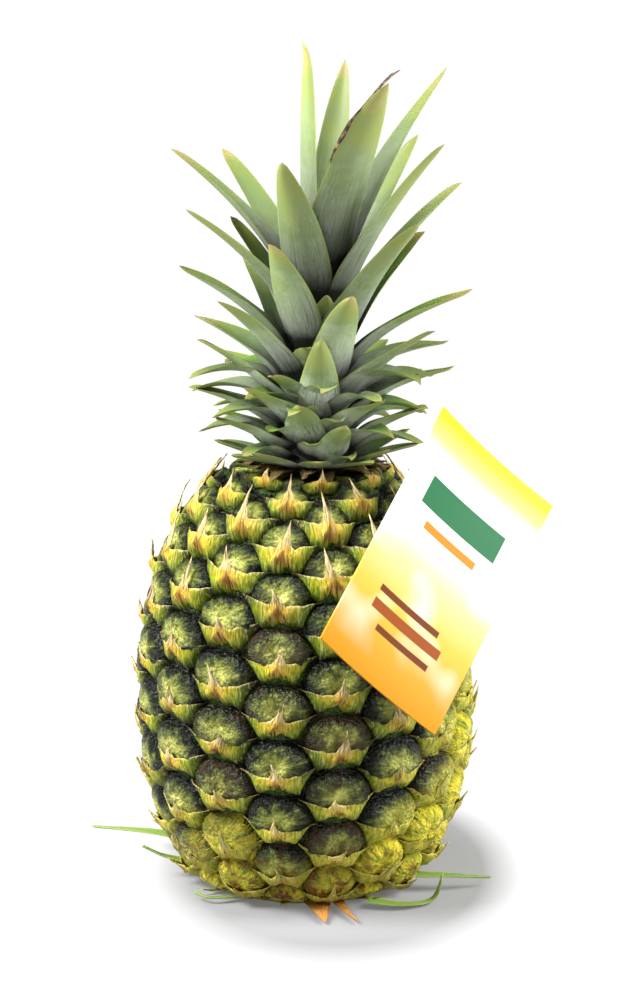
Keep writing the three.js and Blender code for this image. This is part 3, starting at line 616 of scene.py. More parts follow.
# The highest bracts dry to orange tan in the middle.
dry_share = add(tree, "MapRange", {0: height, 1: 0.12, 2: 0.15, 4: 0.7})
dry_middle = add(tree, "MapRange", {0: from_star, 1: 0.6, 2: 0.15})
dry_share = add(tree, "Math", {0: dry_share, 1: dry_middle}, operation="MULTIPLY")
papery = add(tree, "Mix", {0: dry_share, 6: papery, 7: linear("#dcb040")}, **RGBA)
shade = add(tree, "MapRange", {0: tone_2, 1: 0.0, 2: 1.0, 3: 0.72, 4: 1.08})
papery = add(tree, "Mix", {0: 1.0, 6: papery, 7: shade}, **RGBA, blend_type="MULTIPLY")
# Pale threads and dark lines run along the sheet, more of them on the drier bracts.
threads = add(tree, "MapRange", {0: hair, 1: 0.54, 2: 0.62, 4: 0.3})
papery = add(tree, "Mix", {0: threads, 6: papery, 7: linear("#e6d79c")}, **RGBA)
lines = add(tree, "MapRange", {0: hair, 1: 0.48, 2: 0.4, 4: 0.6})
papery = add(tree, "Mix", {0: lines, 6: papery, 7: linear("#4d4a18")}, **RGBA)
scale_bump = add(tree, "Bump", {"Height": hair, "Strength": 0.9, "Distance": 0.0012})
papery = add(
    tree,
    "BsdfPrincipled",
    {
        "Base Color": papery,
        "Roughness": 0.48,
        "Normal": scale_bump,
        "IOR": 1.45,
        "Specular IOR Level": 0.3,
    },
)
add(tree, "OutputMaterial", {"Surface": papery})
scales_mesh.materials.append(scale_skin)
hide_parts("fruit")
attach(scales, "root")


# The leaves of the crown.
# Stiff, guttered leaves with a grey waxy bloom, each one turned by the golden angle from the
# next, rising steeply in the middle and spreading low at the foot. They grow from a short stem.
GOLDEN_ANGLE = 137.5
CROWN_X = 3.2
CROWN_LEAN = 0.012
STEM_TOP = 206
STEM_RADIUS_FOOT = 13.5
STEM_RADIUS_TOP = 2.6
LEAF_GAP = 0.45
LEAF_STEP = 1.05
TOP_LEAF_BASE = 203.6
REFERENCE_AZIMUTH = 35
INNERMOST = -4
OUTERMOST = 43
RISE_INNERMOST = 90
RISE_OUTERMOST = 40
# How far each upper leaf's tip stands out, how high it is, its width, and its turn off the angle.
UPPER_LEAVES = [
    (7, 252, 7, 4),
    (16, 268, 9, -6),
    (4.5, 301, 13, -8),
    (24, 292, 15, -10),
    (45, 290, 23.5, -3),
    (53.5, 262, 16.5, 0),
    (58, 288, 13, 6),
    (35, 263, 19, -4),
    (47, 259.5, 17, 20),
    (47, 267.6, 19, 0),
    (48, 244.3, 19, -4),
    (56, 263, 15, -10),
    (11, 214, 12, -4),
    (33.5, 237.6, 16, 4),
    (52, 250.4, 16, 6),
    (30, 234.5, 19, 2),
    (47, 244, 18, 0),
    (47.5, 241.5, 20, -2),
    (48.5, 222.6, 17, 2),
    (46, 231, 16, -8),
    (17.5, 197, 15, -8),
    (38, 224, 17, 4),
    (55, 214.5, 16, 2),
    (42, 214.3, 17, 0),
    (44, 214, 17, 0),
    (31.5, 216.5, 18, -7),
    (47, 202, 17, 0),
    (51, 192, 16, 0),
    (28, 188, 15, -10),
    (44, 198, 17, 0),
    (47, 204, 17, 0),
    (42, 198, 17, 0),
    (44, 190, 16, 0),
    (25, 201, 16.5, -2),
]
TALL_LEAVES = 26
SKIRT_REACH_TOP = 47
SKIRT_REACH_FOOT = 43
SKIRT_TIP_TOP = 187
SKIRT_TIP_FOOT = 168
SKIRT_WIDTH_TOP = 17
SKIRT_WIDTH_FOOT = 15
FRONT_SHARE = 0.57
BLADE_THICKNESS = 1.5
CHANNEL_AT_BASE = 0.25
CHANNEL_AT_TIP = 0.14
BOW = 0.4
BASE_WRAP = 1.55
BLADE_ACROSS = 12
POINT_SHARE = 0.03
CURL_START = 0.93


def crown_axis(height):
    return CROWN_X + CROWN_LEAN * (height - STEM_FOOT)


def stem_radius(height):
    share = (height - STEM_FOOT) / (STEM_TOP - STEM_FOOT)
    return blend(STEM_RADIUS_FOOT, STEM_RADIUS_TOP, min(max(share, 0), 1))


def bowed_line(azimuth, start, end, rise, sway, bow=BOW, tip_curl=0.0):
    """A bowed line in the upright plane of an azimuth, given as (distance from the axis, height)."""
    outward = Vector((math.sin(azimuth), -math.cos(azimuth), 0))
    across = Vector((math.cos(azimuth), math.sin(azimuth), 0))
    start = Vector(start)
    end = Vector(end)
    knee = start + Vector((math.cos(rise), math.sin(rise))) * (bow * (end - start).length)

    def at(t):
        flat_place = start * (1 - t) ** 2 + knee * (2 * t * (1 - t)) + end * t**2
        way = ((knee - start) * (1 - t) + (end - knee) * t).normalized()
        place = Vector((crown_axis(flat_place.y), 0, flat_place.y))
        dried = max(t - CURL_START, 0) / (1 - CURL_START)
        place += outward * flat_place.x + across * (sway * t * t + tip_curl * dried**2)
        up = outward * -way.y + Vector((0, 0, way.x))
        return place + up * (tip_curl * 0.6 * dried**2), across, up

    return at


def leaf_width(wide, base_width, tall):
    base_share = min(1, base_width / wide)
    widest = 0.42 if tall else 0.3
    taper = 2.8 if tall else 2
    return lambda t: wide * blend(base_share, 1, float(smooth(t / widest))) * (1 - t**taper) ** 0.62


def add_blade(
    shape, line, width, channel, thickness, rows, wave=0, phase=0, tone=0.5, dry=0, hidden=0
):
    """Adds one closed blade to a bmesh: a sheet rolled round its own edges, hollow side up."""
    blade_map = shape.loops.layers.uv.get("blade") or shape.loops.layers.uv.new("blade")
    side_map = shape.loops.layers.uv.get("side") or shape.loops.layers.uv.new("side")
    hidden_map = shape.loops.layers.uv.get("hidden") or shape.loops.layers.uv.new("hidden")
    sheet = bmesh.ops.create_grid(shape, x_segments=2 * BLADE_ACROSS, y_segments=rows, size=1.0)
    verts = sheet["verts"]
    marks = {}
    for vert in verts:
        turn = (vert.co.x + 1) * BLADE_ACROSS
        upper = turn <= BLADE_ACROSS + 1e-6
        q = 2 * turn / BLADE_ACROSS - 1 if upper else 3 - 2 * turn / BLADE_ACROSS
        t = (vert.co.y + 1) / 2
        place, across, up = line(t)
        wide = width(t)
        ripple = wave * q * q * math.sin(9 * t + phase + 1.5 * q)
        half = thickness(t) / 2 * (1 - q * q) * (1 if upper else -1)
        # Ripple and thickness run out at the end, so that the blade ends in a point.
        rise = channel(t) * wide * q * q + (ripple + half) * min((1 - t) / POINT_SHARE, 1)
        vert.co = (place + across * (q * wide / 2) + up * rise) * MM
        marks[vert] = (q, t, turn)
    for face in {f for v in verts for f in v.link_faces}:
        inner = 1.0 if sum(marks[v][2] for v in face.verts) < 4 * BLADE_ACROSS else 0.0
        face.material_index = dry
        for loop in face.loops:
            loop[blade_map].uv = marks[loop.vert][:2]
            loop[side_map].uv = (inner, tone)
            loop[hidden_map].uv = (hidden, 0)


def finish_blades(shape, name):
    bmesh.ops.remove_doubles(shape, verts=shape.verts, dist=2e-6)
    rims = [e for e in shape.edges if e.is_boundary]
    if rims:
        bmesh.ops.holes_fill(shape, edges=rims, sides=0)
    face_outward(shape)
    mesh = bpy.data.meshes.new(name)
    shape.to_mesh(mesh)
    shape.free()
    mesh.shade_smooth()
    mesh.set_sharp_from_angle(angle=math.radians(60))
    return new_piece(name, mesh)


# Living leaf: its outer face has a silvery waxy bloom over grey green, thickest at the base and
# worn off towards an olive tip, in streaks along the veins; its inner face is a bare bright green.
leaf_skin, tree = new_material("waxy_crown_leaf")
blade_place = add(tree, "UVMap", {}, uv_map="blade")
blade_u = add(tree, "SeparateXYZ", {0: blade_place}, out=0)
blade_v = add(tree, "SeparateXYZ", {0: blade_place}, out=1)
leaf_sides = add(tree, "UVMap", {}, uv_map="side")
inner_face = add(tree, "SeparateXYZ", {0: leaf_sides}, out=0)
leaf_tone = add(tree, "SeparateXYZ", {0: leaf_sides}, out=1)
leaf_shift = add(tree, "Math", {0: leaf_tone, 1: 53.0}, operation="MULTIPLY")
leaf_shift = add(tree, "CombineXYZ", {2: leaf_shift})
vein_place = add(
    tree, "VectorMath", {0: blade_place, 1: (13, 3.0, 0), 2: leaf_shift}, operation="MULTIPLY_ADD"
)
veins = add(tree, "TexNoise", {"Vector": vein_place, "Scale": 1.0, "Detail": 4.0, "Roughness": 0.65})
scurf_place = add(
    tree, "VectorMath", {0: blade_place, 1: (34, 22, 0), 2: leaf_shift}, operation="MULTIPLY_ADD"
)
scurf = add(tree, "TexNoise", {"Vector": scurf_place, "Scale": 1.0, "Detail": 3.0, "Roughness": 0.7})
own_place = add(tree, "TexCoord", {}, out=3)
cloud = add(tree, "TexNoise", {"Vector": own_place, "Scale": 75.0, "Detail": 4.0, "Roughness": 0.6})
at_tip = add(tree, "MapRange", {0: blade_v, 1: 0.45, 2: 0.8, 3: 1.0, 4: 0.0})
vein_tone = add(tree, "Math", {0: veins, 1: 0.35, 2: -0.175}, operation="MULTIPLY_ADD")
vein_tone = add(tree, "Math", {0: vein_tone, 1: at_tip}, operation="MULTIPLY")
along_leaf = add(tree, "Math", {0: cloud, 1: 0.6, 2: blade_v}, operation="MULTIPLY_ADD")
along_leaf = add(tree, "Math", {0: along_leaf, 1: vein_tone}, operation="ADD")
along_leaf = add(tree, "Math", {0: along_leaf, 1: 0.3}, operation="SUBTRACT")
outer_colour = add(
    tree,
    "ValToRGB",
    {0: along_leaf},
    stops=[
        (0.0, "#f4f6f0"), (0.34, "#dde4d5"), (0.52, "#a2b08e"), (0.7, "#7d8e5e"), (0.9, "#87924a"),
        (1.0, "#9a945a"),
    ],
)
inner_colour = add(
    tree,
    "ValToRGB",
    {0: along_leaf},
    stops=[(0.0, "#93a86a"), (0.3, "#4f7f22"), (0.6, "#5d8a26"), (0.85, "#6d8838"), (1.0, "#8f8b4a")],
)
inner_share = add(tree, "MapRange", {0: leaf_tone, 1: 0.4, 2: 0.9, 3: 0.1, 4: 0.9})
inner_share = add(tree, "Math", {0: inner_face, 1: inner_share}, operation="MULTIPLY")
leaf_colour = add(tree, "Mix", {0: inner_share, 6: outer_colour, 7: inner_colour}, **RGBA)
# Pale scurf, dark lines between the veins and dark specks, all fading towards the tip.
LEAF_MARKS = [
    (scurf, 0.54, 0.66, 0.5, "#d3dccb"),
    (veins, 0.47, 0.34, 0.7, "#3c5529"),
    (scurf, 0.42, 0.34, 0.6, "#41552e"),
]
for source, none_at, full_at, most, colour in LEAF_MARKS:
    share = add(tree, "MapRange", {0: source, 1: none_at, 2: full_at, 4: most})
    share = add(tree, "Math", {0: share, 1: at_tip}, operation="MULTIPLY")
    leaf_colour = add(tree, "Mix", {0: share, 6: leaf_colour, 7: linear(colour)}, **RGBA)
off_rib = add(tree, "Math", {0: blade_u}, operation="ABSOLUTE")
margin_share = add(tree, "MapRange", {0: off_rib, 1: 0.9, 2: 0.98, 4: 0.8})
leaf_colour = add(tree, "Mix", {0: margin_share, 6: leaf_colour, 7: linear("#9dab55")}, **RGBA)
# The last few millimetres are dry: first straw yellow, then brown.
dry = add(tree, "Math", {0: cloud, 1: 0.2, 2: blade_v}, operation="MULTIPLY_ADD")
dry = add(tree, "Math", {0: leaf_tone, 1: 0.06, 2: dry}, operation="MULTIPLY_ADD")
dry_share = add(tree, "MapRange", {0: dry, 1: 1.1, 2: 1.16, 4: 0.9})
dry_colour = add(
    tree, "ValToRGB", {0: cloud}, stops=[(0.35, "#5c4a20"), (0.5, "#8f7f38"), (0.65, "#a99c5c")]
)
leaf_colour = add(tree, "Mix", {0: dry_share, 6: leaf_colour, 7: dry_colour}, **RGBA)
# The inner face has no bloom on it, so it is darker than the outer one. Each leaf is painted
# near black towards its base: painted shade for the crown's heart and for where the leaves in front
# cover its foot, reaching further up the more of the foot is hidden.
leaf_shade = add(tree, "MapRange", {0: leaf_tone, 1: 0.0, 2: 1.0, 3: 0.78, 4: 1.1})
inner_shade = add(tree, "MapRange", {0: inner_face, 1: 0.0, 2: 1.0, 3: 1.0, 4: 0.75})
heart_depth = add(tree, "Math", {0: cloud, 1: 0.25, 2: blade_v}, operation="MULTIPLY_ADD")
hidden_foot = add(tree, "SeparateXYZ", {0: add(tree, "UVMap", {}, uv_map="hidden")}, out=0)
heart_depth = add(tree, "Math", {0: heart_depth, 1: hidden_foot}, operation="SUBTRACT")
heart_shade = add(tree, "MapRange", {0: heart_depth, 1: 0.26, 2: 0.66, 3: 0.02, 4: 1.16})
for shade in (leaf_shade, inner_shade, heart_shade):
    leaf_colour = add(tree, "Mix", {0: 1.0, 6: leaf_colour, 7: shade}, **RGBA, blend_type="MULTIPLY")
rib_height = add(tree, "Math", {0: veins, 1: at_tip}, operation="MULTIPLY")
scurf_height = add(tree, "Math", {0: scurf, 1: at_tip}, operation="MULTIPLY")
leaf_bump = add(tree, "Bump", {"Height": rib_height, "Strength": 0.7, "Distance": 0.0008})
leaf_bump = add(
    tree, "Bump", {"Height": scurf_height, "Strength": 0.4, "Distance": 0.0004, "Normal": leaf_bump}
)
leaf_rough = add(tree, "MapRange", {0: cloud, 1: 0.3, 2: 0.7, 3: 0.36, 4: 0.6})
leaf = add(
    tree,
    "BsdfPrincipled",
    {
        "Base Color": leaf_colour,
        "Roughness": leaf_rough,
        "Normal": leaf_bump,
        "IOR": 1.45,
        "Specular IOR Level": 0.35,
    },
)
add(tree, "OutputMaterial", {"Surface": leaf})

# A strip of the widest upper leaf's left margin has died back: black brown, thin and curled.
DRIED_STRIP_LEAF = 5
DRIED_STRIP_START = 0.7
DRIED_STRIP_WIDTH = 1.3
dead_margin, tree = new_material("dead_leaf_margin")
fibre = add(
    tree,
    "TexNoise",
    {"Vector": add(tree, "TexCoord", {}, out=3), "Scale": 400.0, "Detail": 3.0, "Roughness": 0.6},
)
dead_colour = add(
    tree, "ValToRGB", {0: fibre}, stops=[(0.35, "#1a120c"), (0.5, "#3f2a18"), (0.7, "#9c8052")]
)
dead_bump = add(tree, "Bump", {"Height": fibre, "Strength": 0.8, "Distance": 0.0006})
dead = add(tree, "BsdfPrincipled", {"Base Color": dead_colour, "Roughness": 0.7, "Normal": dead_bump})
add(tree, "OutputMaterial", {"Surface": dead})

for number in range(INNERMOST, OUTERMOST + 1):
    order = number - INNERMOST
    base = TOP_LEAF_BASE - LEAF_STEP * order
    azimuth = REFERENCE_AZIMUTH - GOLDEN_ANGLE * number
    rise = blend(RISE_INNERMOST, RISE_OUTERMOST, order / (OUTERMOST - INNERMOST))
    if order < len(UPPER_LEAVES):
        reach, tip, wide, turn = UPPER_LEAVES[order]
        azimuth += turn
    else:
        down = (order - len(UPPER_LEAVES)) / (OUTERMOST - INNERMOST - len(UPPER_LEAVES))
        front = blend(1, FRONT_SHARE, max(math.cos(math.radians(azimuth)), 0) ** 2)
        azimuth += spread(number, 4, 4)
        reach = front * blend(SKIRT_REACH_TOP, SKIRT_REACH_FOOT, down * down) + spread(number, 5, 2.5)
        tip = blend(SKIRT_TIP_TOP, SKIRT_TIP_FOOT, down) + spread(number, 6, 2)
        wide = blend(SKIRT_WIDTH_TOP, SKIRT_WIDTH_FOOT, down)
    start_radius = stem_radius(base) + BLADE_THICKNESS / 2 + LEAF_GAP
    tall = order < TALL_LEAVES
    line = bowed_line(
        math.radians(azimuth),
        (start_radius, base),
        (reach, tip),
        math.radians(rise),
        spread(number, 7, 2.5),
        tip_curl=spread(number, 16, 1.6),
    )
    width = leaf_width(wide, start_radius * BASE_WRAP, tall)
    leaf_shape = bmesh.new()
    add_blade(
        leaf_shape,
        line,
        width,
        lambda t: blend(CHANNEL_AT_BASE, CHANNEL_AT_TIP, t),
        lambda t: BLADE_THICKNESS * blend(0.85, 0.45, t),
        44 if tall else 26,
        0.45,
        6.28 * chance(number, 8),
        chance(number, 15),
        # How much of this leaf's foot the leaves in front cover; the painted shade at its base reaches
        # further up by as much.
        hidden=float(np.interp(order, [3, 12, 26, 34], [0.22, 0.14, 0.04, -0.08])),
    )
    if order + 1 == DRIED_STRIP_LEAF:

        def strip_line(t, line=line, width=width):
            along = blend(DRIED_STRIP_START, 1, t)
            place, across, up = line(along)
            wide = width(along)
            margin = place - across * (wide / 2)
            margin += up * (blend(CHANNEL_AT_BASE, CHANNEL_AT_TIP, along) * wide)
            stray = across * (5 * t**5 - 0.5 * math.sin(math.pi * t) - 0.3 * math.sin(14 * t))
            return margin + stray + Vector((0, 0, 4 * t**5)), across, up

        add_blade(
            leaf_shape,
            strip_line,
            lambda t: DRIED_STRIP_WIDTH * (0.4 + 0.6 * math.sin(math.pi * t) ** 0.5),
            lambda t: 0.4,
            lambda t: 0.5,
            30,
            0.5,
            dry=1,
        )
    name = "crown_leaf_%02d" % (order + 1)
    blade = finish_blades(leaf_shape, name + "_blade")
    blade.data.materials.append(leaf_skin)
    blade.data.materials.append(dead_margin)
    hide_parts(name)
    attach(blade, "root")


# The crown's stem and its smallest leaves.
# The pale stem tapers up through the leaves and stands on the fruit; it takes the leaf skin, whose
# painted shade for the crown's heart paints it near black. The small leaves round its foot lie low
# over the shoulder, grown in one piece with it.
BASAL_LEAVES = 13
BASAL_WIDTH = 14
BASAL_FOOT_WIDTH = 7
BASAL_REACH = 36
BASAL_TIP_TOP = 163
BASAL_TIP_FOOT = 158
BASAL_BASE = 152
# Short leaves fill the gaps between the others, with tips that droop level.
EXTRA_LEAVES = 30
EXTRA_OFFSET = 25
EXTRA_BASE_TOP = 175
EXTRA_BASE_FOOT = 152
EXTRA_TIP_TOP = 186
EXTRA_TIP_FOOT = 158
EXTRA_REACH_TOP = 46
EXTRA_REACH_FOOT = 37
EXTRA_FRONT_SHARE = 0.66
EXTRA_RISE = 55
EXTRA_BOW = 0.6
HUSKS = 22
HUSK_RISE = 40
HUSK_REACH = 28
HUSK_TIP = 151
HUSK_WIDTH = 8


def dry_leaf_material(name, fresh, dry, edge):
    """A drying leaf: a fresh and a dry colour that mix along its fibres, and a pale margin."""
    material, tree = new_material(name)
    place = add(tree, "UVMap", {}, uv_map="blade")
    stretched = add(tree, "VectorMath", {0: place, 1: (9, 3, 0)}, operation="MULTIPLY")
    fibres = add(tree, "TexNoise", {"Vector": stretched, "Scale": 1.0, "Detail": 4.0, "Roughness": 0.6})
    mix = add(tree, "MapRange", {0: fibres, 1: 0.35, 2: 0.65})
    colour = add(tree, "Mix", {0: mix, 6: linear(fresh), 7: linear(dry)}, **RGBA)
    off = add(tree, "Math", {0: add(tree, "SeparateXYZ", {0: place}, out=0)}, operation="ABSOLUTE")
    rim = add(tree, "MapRange", {0: off, 1: 0.75, 2: 0.95, 4: 0.7})
    colour = add(tree, "Mix", {0: rim, 6: colour, 7: linear(edge)}, **RGBA)
    bump = add(tree, "Bump", {"Height": fibres, "Strength": 0.6, "Distance": 0.0006})
    surface = add(tree, "BsdfPrincipled", {"Base Color": colour, "Roughness": 0.6, "Normal": bump})
    add(tree, "OutputMaterial", {"Surface": surface})
    return material


# Half dry leaf, still green with straw-coloured fibres, and dead husk, brown round the crown's
# foot and orange brown under the fruit.
drying_leaf = dry_leaf_material("drying_leaf", "#5f8f2c", "#93a84e", "#b7bd72")
brown_husk = dry_leaf_material("brown_husk", "#3d3216", "#93793c", "#2c2410")
orange_husk = dry_leaf_material("orange_husk", "#a8641f", "#d9a052", "#7a4a20")
stem_shape = bmesh.new()
bmesh.ops.create_cone(
    stem_shape,
    cap_ends=True,
    segments=32,
    radius1=STEM_RADIUS_FOOT * MM,
    radius2=STEM_RADIUS_TOP * MM,
    depth=(STEM_TOP - STEM_FOOT) * MM,
    matrix=Matrix.Translation((CROWN_X * MM, 0, (STEM_FOOT + STEM_TOP) / 2 * MM)),
)
# Dried bracts lie round the foot of the stem, between it and the top row of eyes.
for n in range(HUSKS):
    number = OUTERMOST + BASAL_LEAVES + EXTRA_LEAVES + 1 + n
    azimuth = GOLDEN_ANGLE * n + spread(number, 4, 5)
    tip = HUSK_TIP + spread(number, 6, 3)
    add_blade(
        stem_shape,
        bowed_line(
            math.radians(azimuth),
            (STEM_RADIUS_FOOT - 1.5, STEM_FOOT - 1),
            (HUSK_REACH + spread(number, 5, 5), tip),
            math.radians(HUSK_RISE),
            spread(number, 7, 3),
            tip_curl=spread(number, 16, 1),
        ),
        leaf_width(HUSK_WIDTH + spread(number, 8, 3), 7, False),
        lambda t: 0.18,
        lambda t: 0.5,
        12,
        0.7,
        6.28 * chance(number, 8),
        chance(number, 15),
        dry=1,
    )
for n in range(1, BASAL_LEAVES + 1):
    number = OUTERMOST + n
    tip = blend(BASAL_TIP_TOP, BASAL_TIP_FOOT, n / BASAL_LEAVES)
    add_blade(
        stem_shape,
        bowed_line(
            math.radians(REFERENCE_AZIMUTH - GOLDEN_ANGLE * number),
            (STEM_RADIUS_FOOT - 2.5, BASAL_BASE),
            (BASAL_REACH + spread(number, 5, 2), tip),
            math.radians(20),
            spread(number, 7, 1.5),
        ),
        leaf_width(BASAL_WIDTH, BASAL_FOOT_WIDTH, False),
        lambda t: CHANNEL_AT_TIP * t,
        lambda t: BLADE_THICKNESS * 0.7,
        16,
        tone=chance(number, 15),
    )
for n in range(EXTRA_LEAVES):
    number = OUTERMOST + BASAL_LEAVES + 1 + n
    down = n / (EXTRA_LEAVES - 1)
    azimuth = REFERENCE_AZIMUTH + EXTRA_OFFSET - GOLDEN_ANGLE * n
    front = blend(1, EXTRA_FRONT_SHARE, max(math.cos(math.radians(azimuth)), 0) ** 2)
    base = blend(EXTRA_BASE_TOP, EXTRA_BASE_FOOT, down)
    reach = front * blend(EXTRA_REACH_TOP, EXTRA_REACH_FOOT, down) + spread(number, 5, 2)
    tip = blend(EXTRA_TIP_TOP, EXTRA_TIP_FOOT, down) + spread(number, 6, 2)
    start_radius = stem_radius(base)
    add_blade(
        stem_shape,
        bowed_line(
            math.radians(azimuth),
            (start_radius, base),
            (reach, tip),
            math.radians(EXTRA_RISE),
            spread(number, 7, 2),
            bow=EXTRA_BOW,
            tip_curl=spread(number, 16, 2),
        ),
        leaf_width(blend(15, 12, down), start_radius * BASE_WRAP, False),
        lambda t: blend(CHANNEL_AT_BASE, CHANNEL_AT_TIP, t),
        lambda t: BLADE_THICKNESS * blend(0.7, 0.4, t),
        22,
        0.5,
        6.28 * chance(number, 8),
        chance(number, 15),
    )
stem = finish_blades(stem_shape, "crown_stem_and_small_leaves")
# The stem's own faces take the leaf skin with no place on a blade, so its painted shade for the crown's
# heart makes them near black.
stem.data.materials.append(leaf_skin)
stem.data.materials.append(brown_husk)
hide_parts("crown_stem")
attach(stem, "root")


# The dry leaves at the foot.
# A few narrow leaves and two brown husk scales, left from the plant's stalk when it was cut.
# They stick out of the fruit's foot just over the surface that it stands on.
FOOT_LEAF_THICKNESS = 1
FOOT_LEAVES = {
    "foot_leaf_spear": (9.5, [(-39.3, 21.9, 5), (-59, 30, 5.8), (-80, 37, 5.6)]),
    "foot_leaf_short": (6, [(-43.3, -3.5, 5.5), (-51.5, -4.2, 8), (-59, -5, 12)]),
    "foot_leaf_curl": (3, [(-23, -30.6, 1.7), (-34, -34, 2.4), (-40, -29, 3)]),
    "foot_leaf_hook": (7, [(22.3, -36, 1.8), (34, -39, 1.4), (45, -34, 1.7), (49, -31, 11)]),
    "foot_leaf_strip": (7, [(39.5, -17.2, 4.8), (52, -17.5, 4.8), (67, -14, 3)]),
    "foot_scale_left": (10, [(4.2, -36.6, 1.2), (5.5, -46, 1.4), (7, -57, 1.1)]),
    "foot_scale_right": (4.5, [(11.3, -35.2, 1.2), (14, -45, 1.4), (18.5, -56.5, 1.1)]),
}


def free_line(places):
    """A smooth line through a few places at even chord steps, its hollow side turned upwards."""
    knots = [Vector(p) for p in places]
    knots = [2 * knots[0] - knots[1]] + knots + [2 * knots[-1] - knots[-2]]
    fine_line = []
    for i in range(1, len(knots) - 2):
        a, b, c, d = knots[i - 1 : i + 3]
        for step in range(24):
            t = step / 24
            fine_line.append(
                0.5
                * (
                    2 * b
                    + (c - a) * t
                    + (2 * a - 5 * b + 4 * c - d) * t * t
                    + (3 * b - a - 3 * c + d) * t**3
                )
            )
    fine_line.append(knots[-2])
    lengths = [0.0]
    for p, q in zip(fine_line, fine_line[1:]):
        lengths.append(lengths[-1] + (q - p).length)

    def at(t):
        want = min(max(t, 0), 1) * lengths[-1]
        i = min(max(int(np.searchsorted(lengths, want)), 1), len(lengths) - 1)
        share = (want - lengths[i - 1]) / (lengths[i] - lengths[i - 1])
        way = (fine_line[i] - fine_line[i - 1]).normalized()
        across = Vector((0, 0, 1)).cross(way).normalized()
        return fine_line[i - 1].lerp(fine_line[i], share), across, way.cross(across)

    return at


for name, (wide, route) in FOOT_LEAVES.items():
    foot_shape = bmesh.new()
    add_blade(
        foot_shape,
        free_line(route),
        lambda t, wide=wide: wide * (1 - t) ** 0.8,
        lambda t: 0.08,
        lambda t: FOOT_LEAF_THICKNESS,
        24,
    )
    foot_leaf = finish_blades(foot_shape, name + "_blade")
    husk = "scale" in name
    foot_leaf.data.materials.append(orange_husk if husk else drying_leaf)
    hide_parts(name)
    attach(foot_leaf, "root")


# The card tag.
# A coated card, cut square and slightly hollow across its width, that lies against the eyes at
# the front right with its head up. It is printed from white over yellow to orange at its foot.
TAG_WIDTH = 58.5
TAG_LENGTH = 97
TAG_THICKNESS = 0.7
TAG_CURL_RADIUS = 190
TAG_AZIMUTH = 38
TAG_TILT = 14
TAG_ROLL = 44
TAG_TOUCH_HEIGHT = 106
TAG_STANDOFF = 62.5
TAG_HEAD_SHIFT = 20
TAG_SIDE_SHIFT = -4
tag_turn = math.radians(TAG_AZIMUTH)
tag_tilt = math.radians(TAG_TILT)
tag_level = Vector((math.cos(tag_turn), math.sin(tag_turn), 0))
tag_facing = Vector(
    (math.cos(tag_tilt) * math.sin(tag_turn), -math.cos(tag_tilt) * math.cos(tag_turn), math.sin(tag_tilt))
)
tag_basis = Matrix((tag_level, -tag_facing, tag_facing.cross(tag_level))).transposed()
tag_basis = tag_basis @ Matrix.Rotation(math.radians(TAG_ROLL), 3, "Y")
tag_touch = Vector(
    (TAG_STANDOFF * math.sin(tag_turn), -TAG_STANDOFF * math.cos(tag_turn), TAG_TOUCH_HEIGHT)
)
tag_shape = bmesh.new()
tag_map = tag_shape.loops.layers.uv.new("print")
bmesh.ops.create_grid(tag_shape, x_segments=24, y_segments=4, size=1.0)
for face in tag_shape.faces:
    for loop in face.loops:
        loop[tag_map].uv = (loop.vert.co.x * TAG_WIDTH / 2, (loop.vert.co.y + 1) / 2 * TAG_LENGTH)
for vert in tag_shape.verts:
    angle = vert.co.x * TAG_WIDTH / 2 / TAG_CURL_RADIUS
    place = Vector(
        (
            TAG_SIDE_SHIFT + TAG_CURL_RADIUS * math.sin(angle),
            TAG_CURL_RADIUS * (math.cos(angle) - 1) - TAG_THICKNESS,
            TAG_HEAD_SHIFT + vert.co.y * TAG_LENGTH / 2,
        )
    )
    vert.co = (tag_basis @ place + tag_touch) * MM
bmesh.ops.recalc_face_normals(tag_shape, faces=tag_shape.faces)
tag_shape.faces.ensure_lookup_table()
if tag_shape.faces[0].normal.dot(tag_facing) < 0:
    bmesh.ops.reverse_faces(tag_shape, faces=tag_shape.faces)
bmesh.ops.solidify(tag_shape, geom=tag_shape.faces[:], thickness=TAG_THICKNESS * MM)
for face in tag_shape.faces:
    face.material_index = 0 if face.normal.dot(tag_facing) > -0.5 else 1
tag_mesh = bpy.data.meshes.new("card_tag")
tag_shape.to_mesh(tag_mesh)
tag_shape.free()
tag = new_piece("card_tag", tag_mesh)

# Coated card, offset printed: smooth, slightly glossy. The fields of colour are soft gradients
# down its length, and plain bars stand where a heading and lines of text would be.
card, tree = new_material("coated_printed_card")
print_place = add(tree, "UVMap", {}, uv_map="print")
print_y = add(tree, "SeparateXYZ", {0: print_place}, out=1)
card_colour = add(
    tree,
    "ValToRGB",
    {0: add(tree, "Math", {0: print_y, 1: TAG_LENGTH}, operation="DIVIDE")},
    stops=[
        (0.0, "#c4850e"), (0.12, "#c6952c"), (0.3, "#ccb448"), (0.46, "#d6ce94"), (0.58, "#e4e3d8"),
        (0.84, "#e4e4de"), (0.9, "#d9d07c"), (0.97, "#d4c81e"),
    ],
)
# Pale patches lie over the yellow behind the lines of text.
pale_patch = add(tree, "TexNoise", {"Vector": print_place, "Scale": 0.045, "Detail": 1.0, "Roughness": 0.4})
pale_share = add(tree, "MapRange", {0: pale_patch, 1: 0.46, 2: 0.66, 4: 0.85})
for outside, within in ((6.0, 26.0), (80.0, 60.0)):
    limit = add(tree, "MapRange", {0: print_y, 1: outside, 2: within})
    pale_share = add(tree, "Math", {0: pale_share, 1: limit}, operation="MULTIPLY")
card_colour = add(tree, "Mix", {0: pale_share, 6: card_colour, 7: linear("#e6e4d8")}, **RGBA)
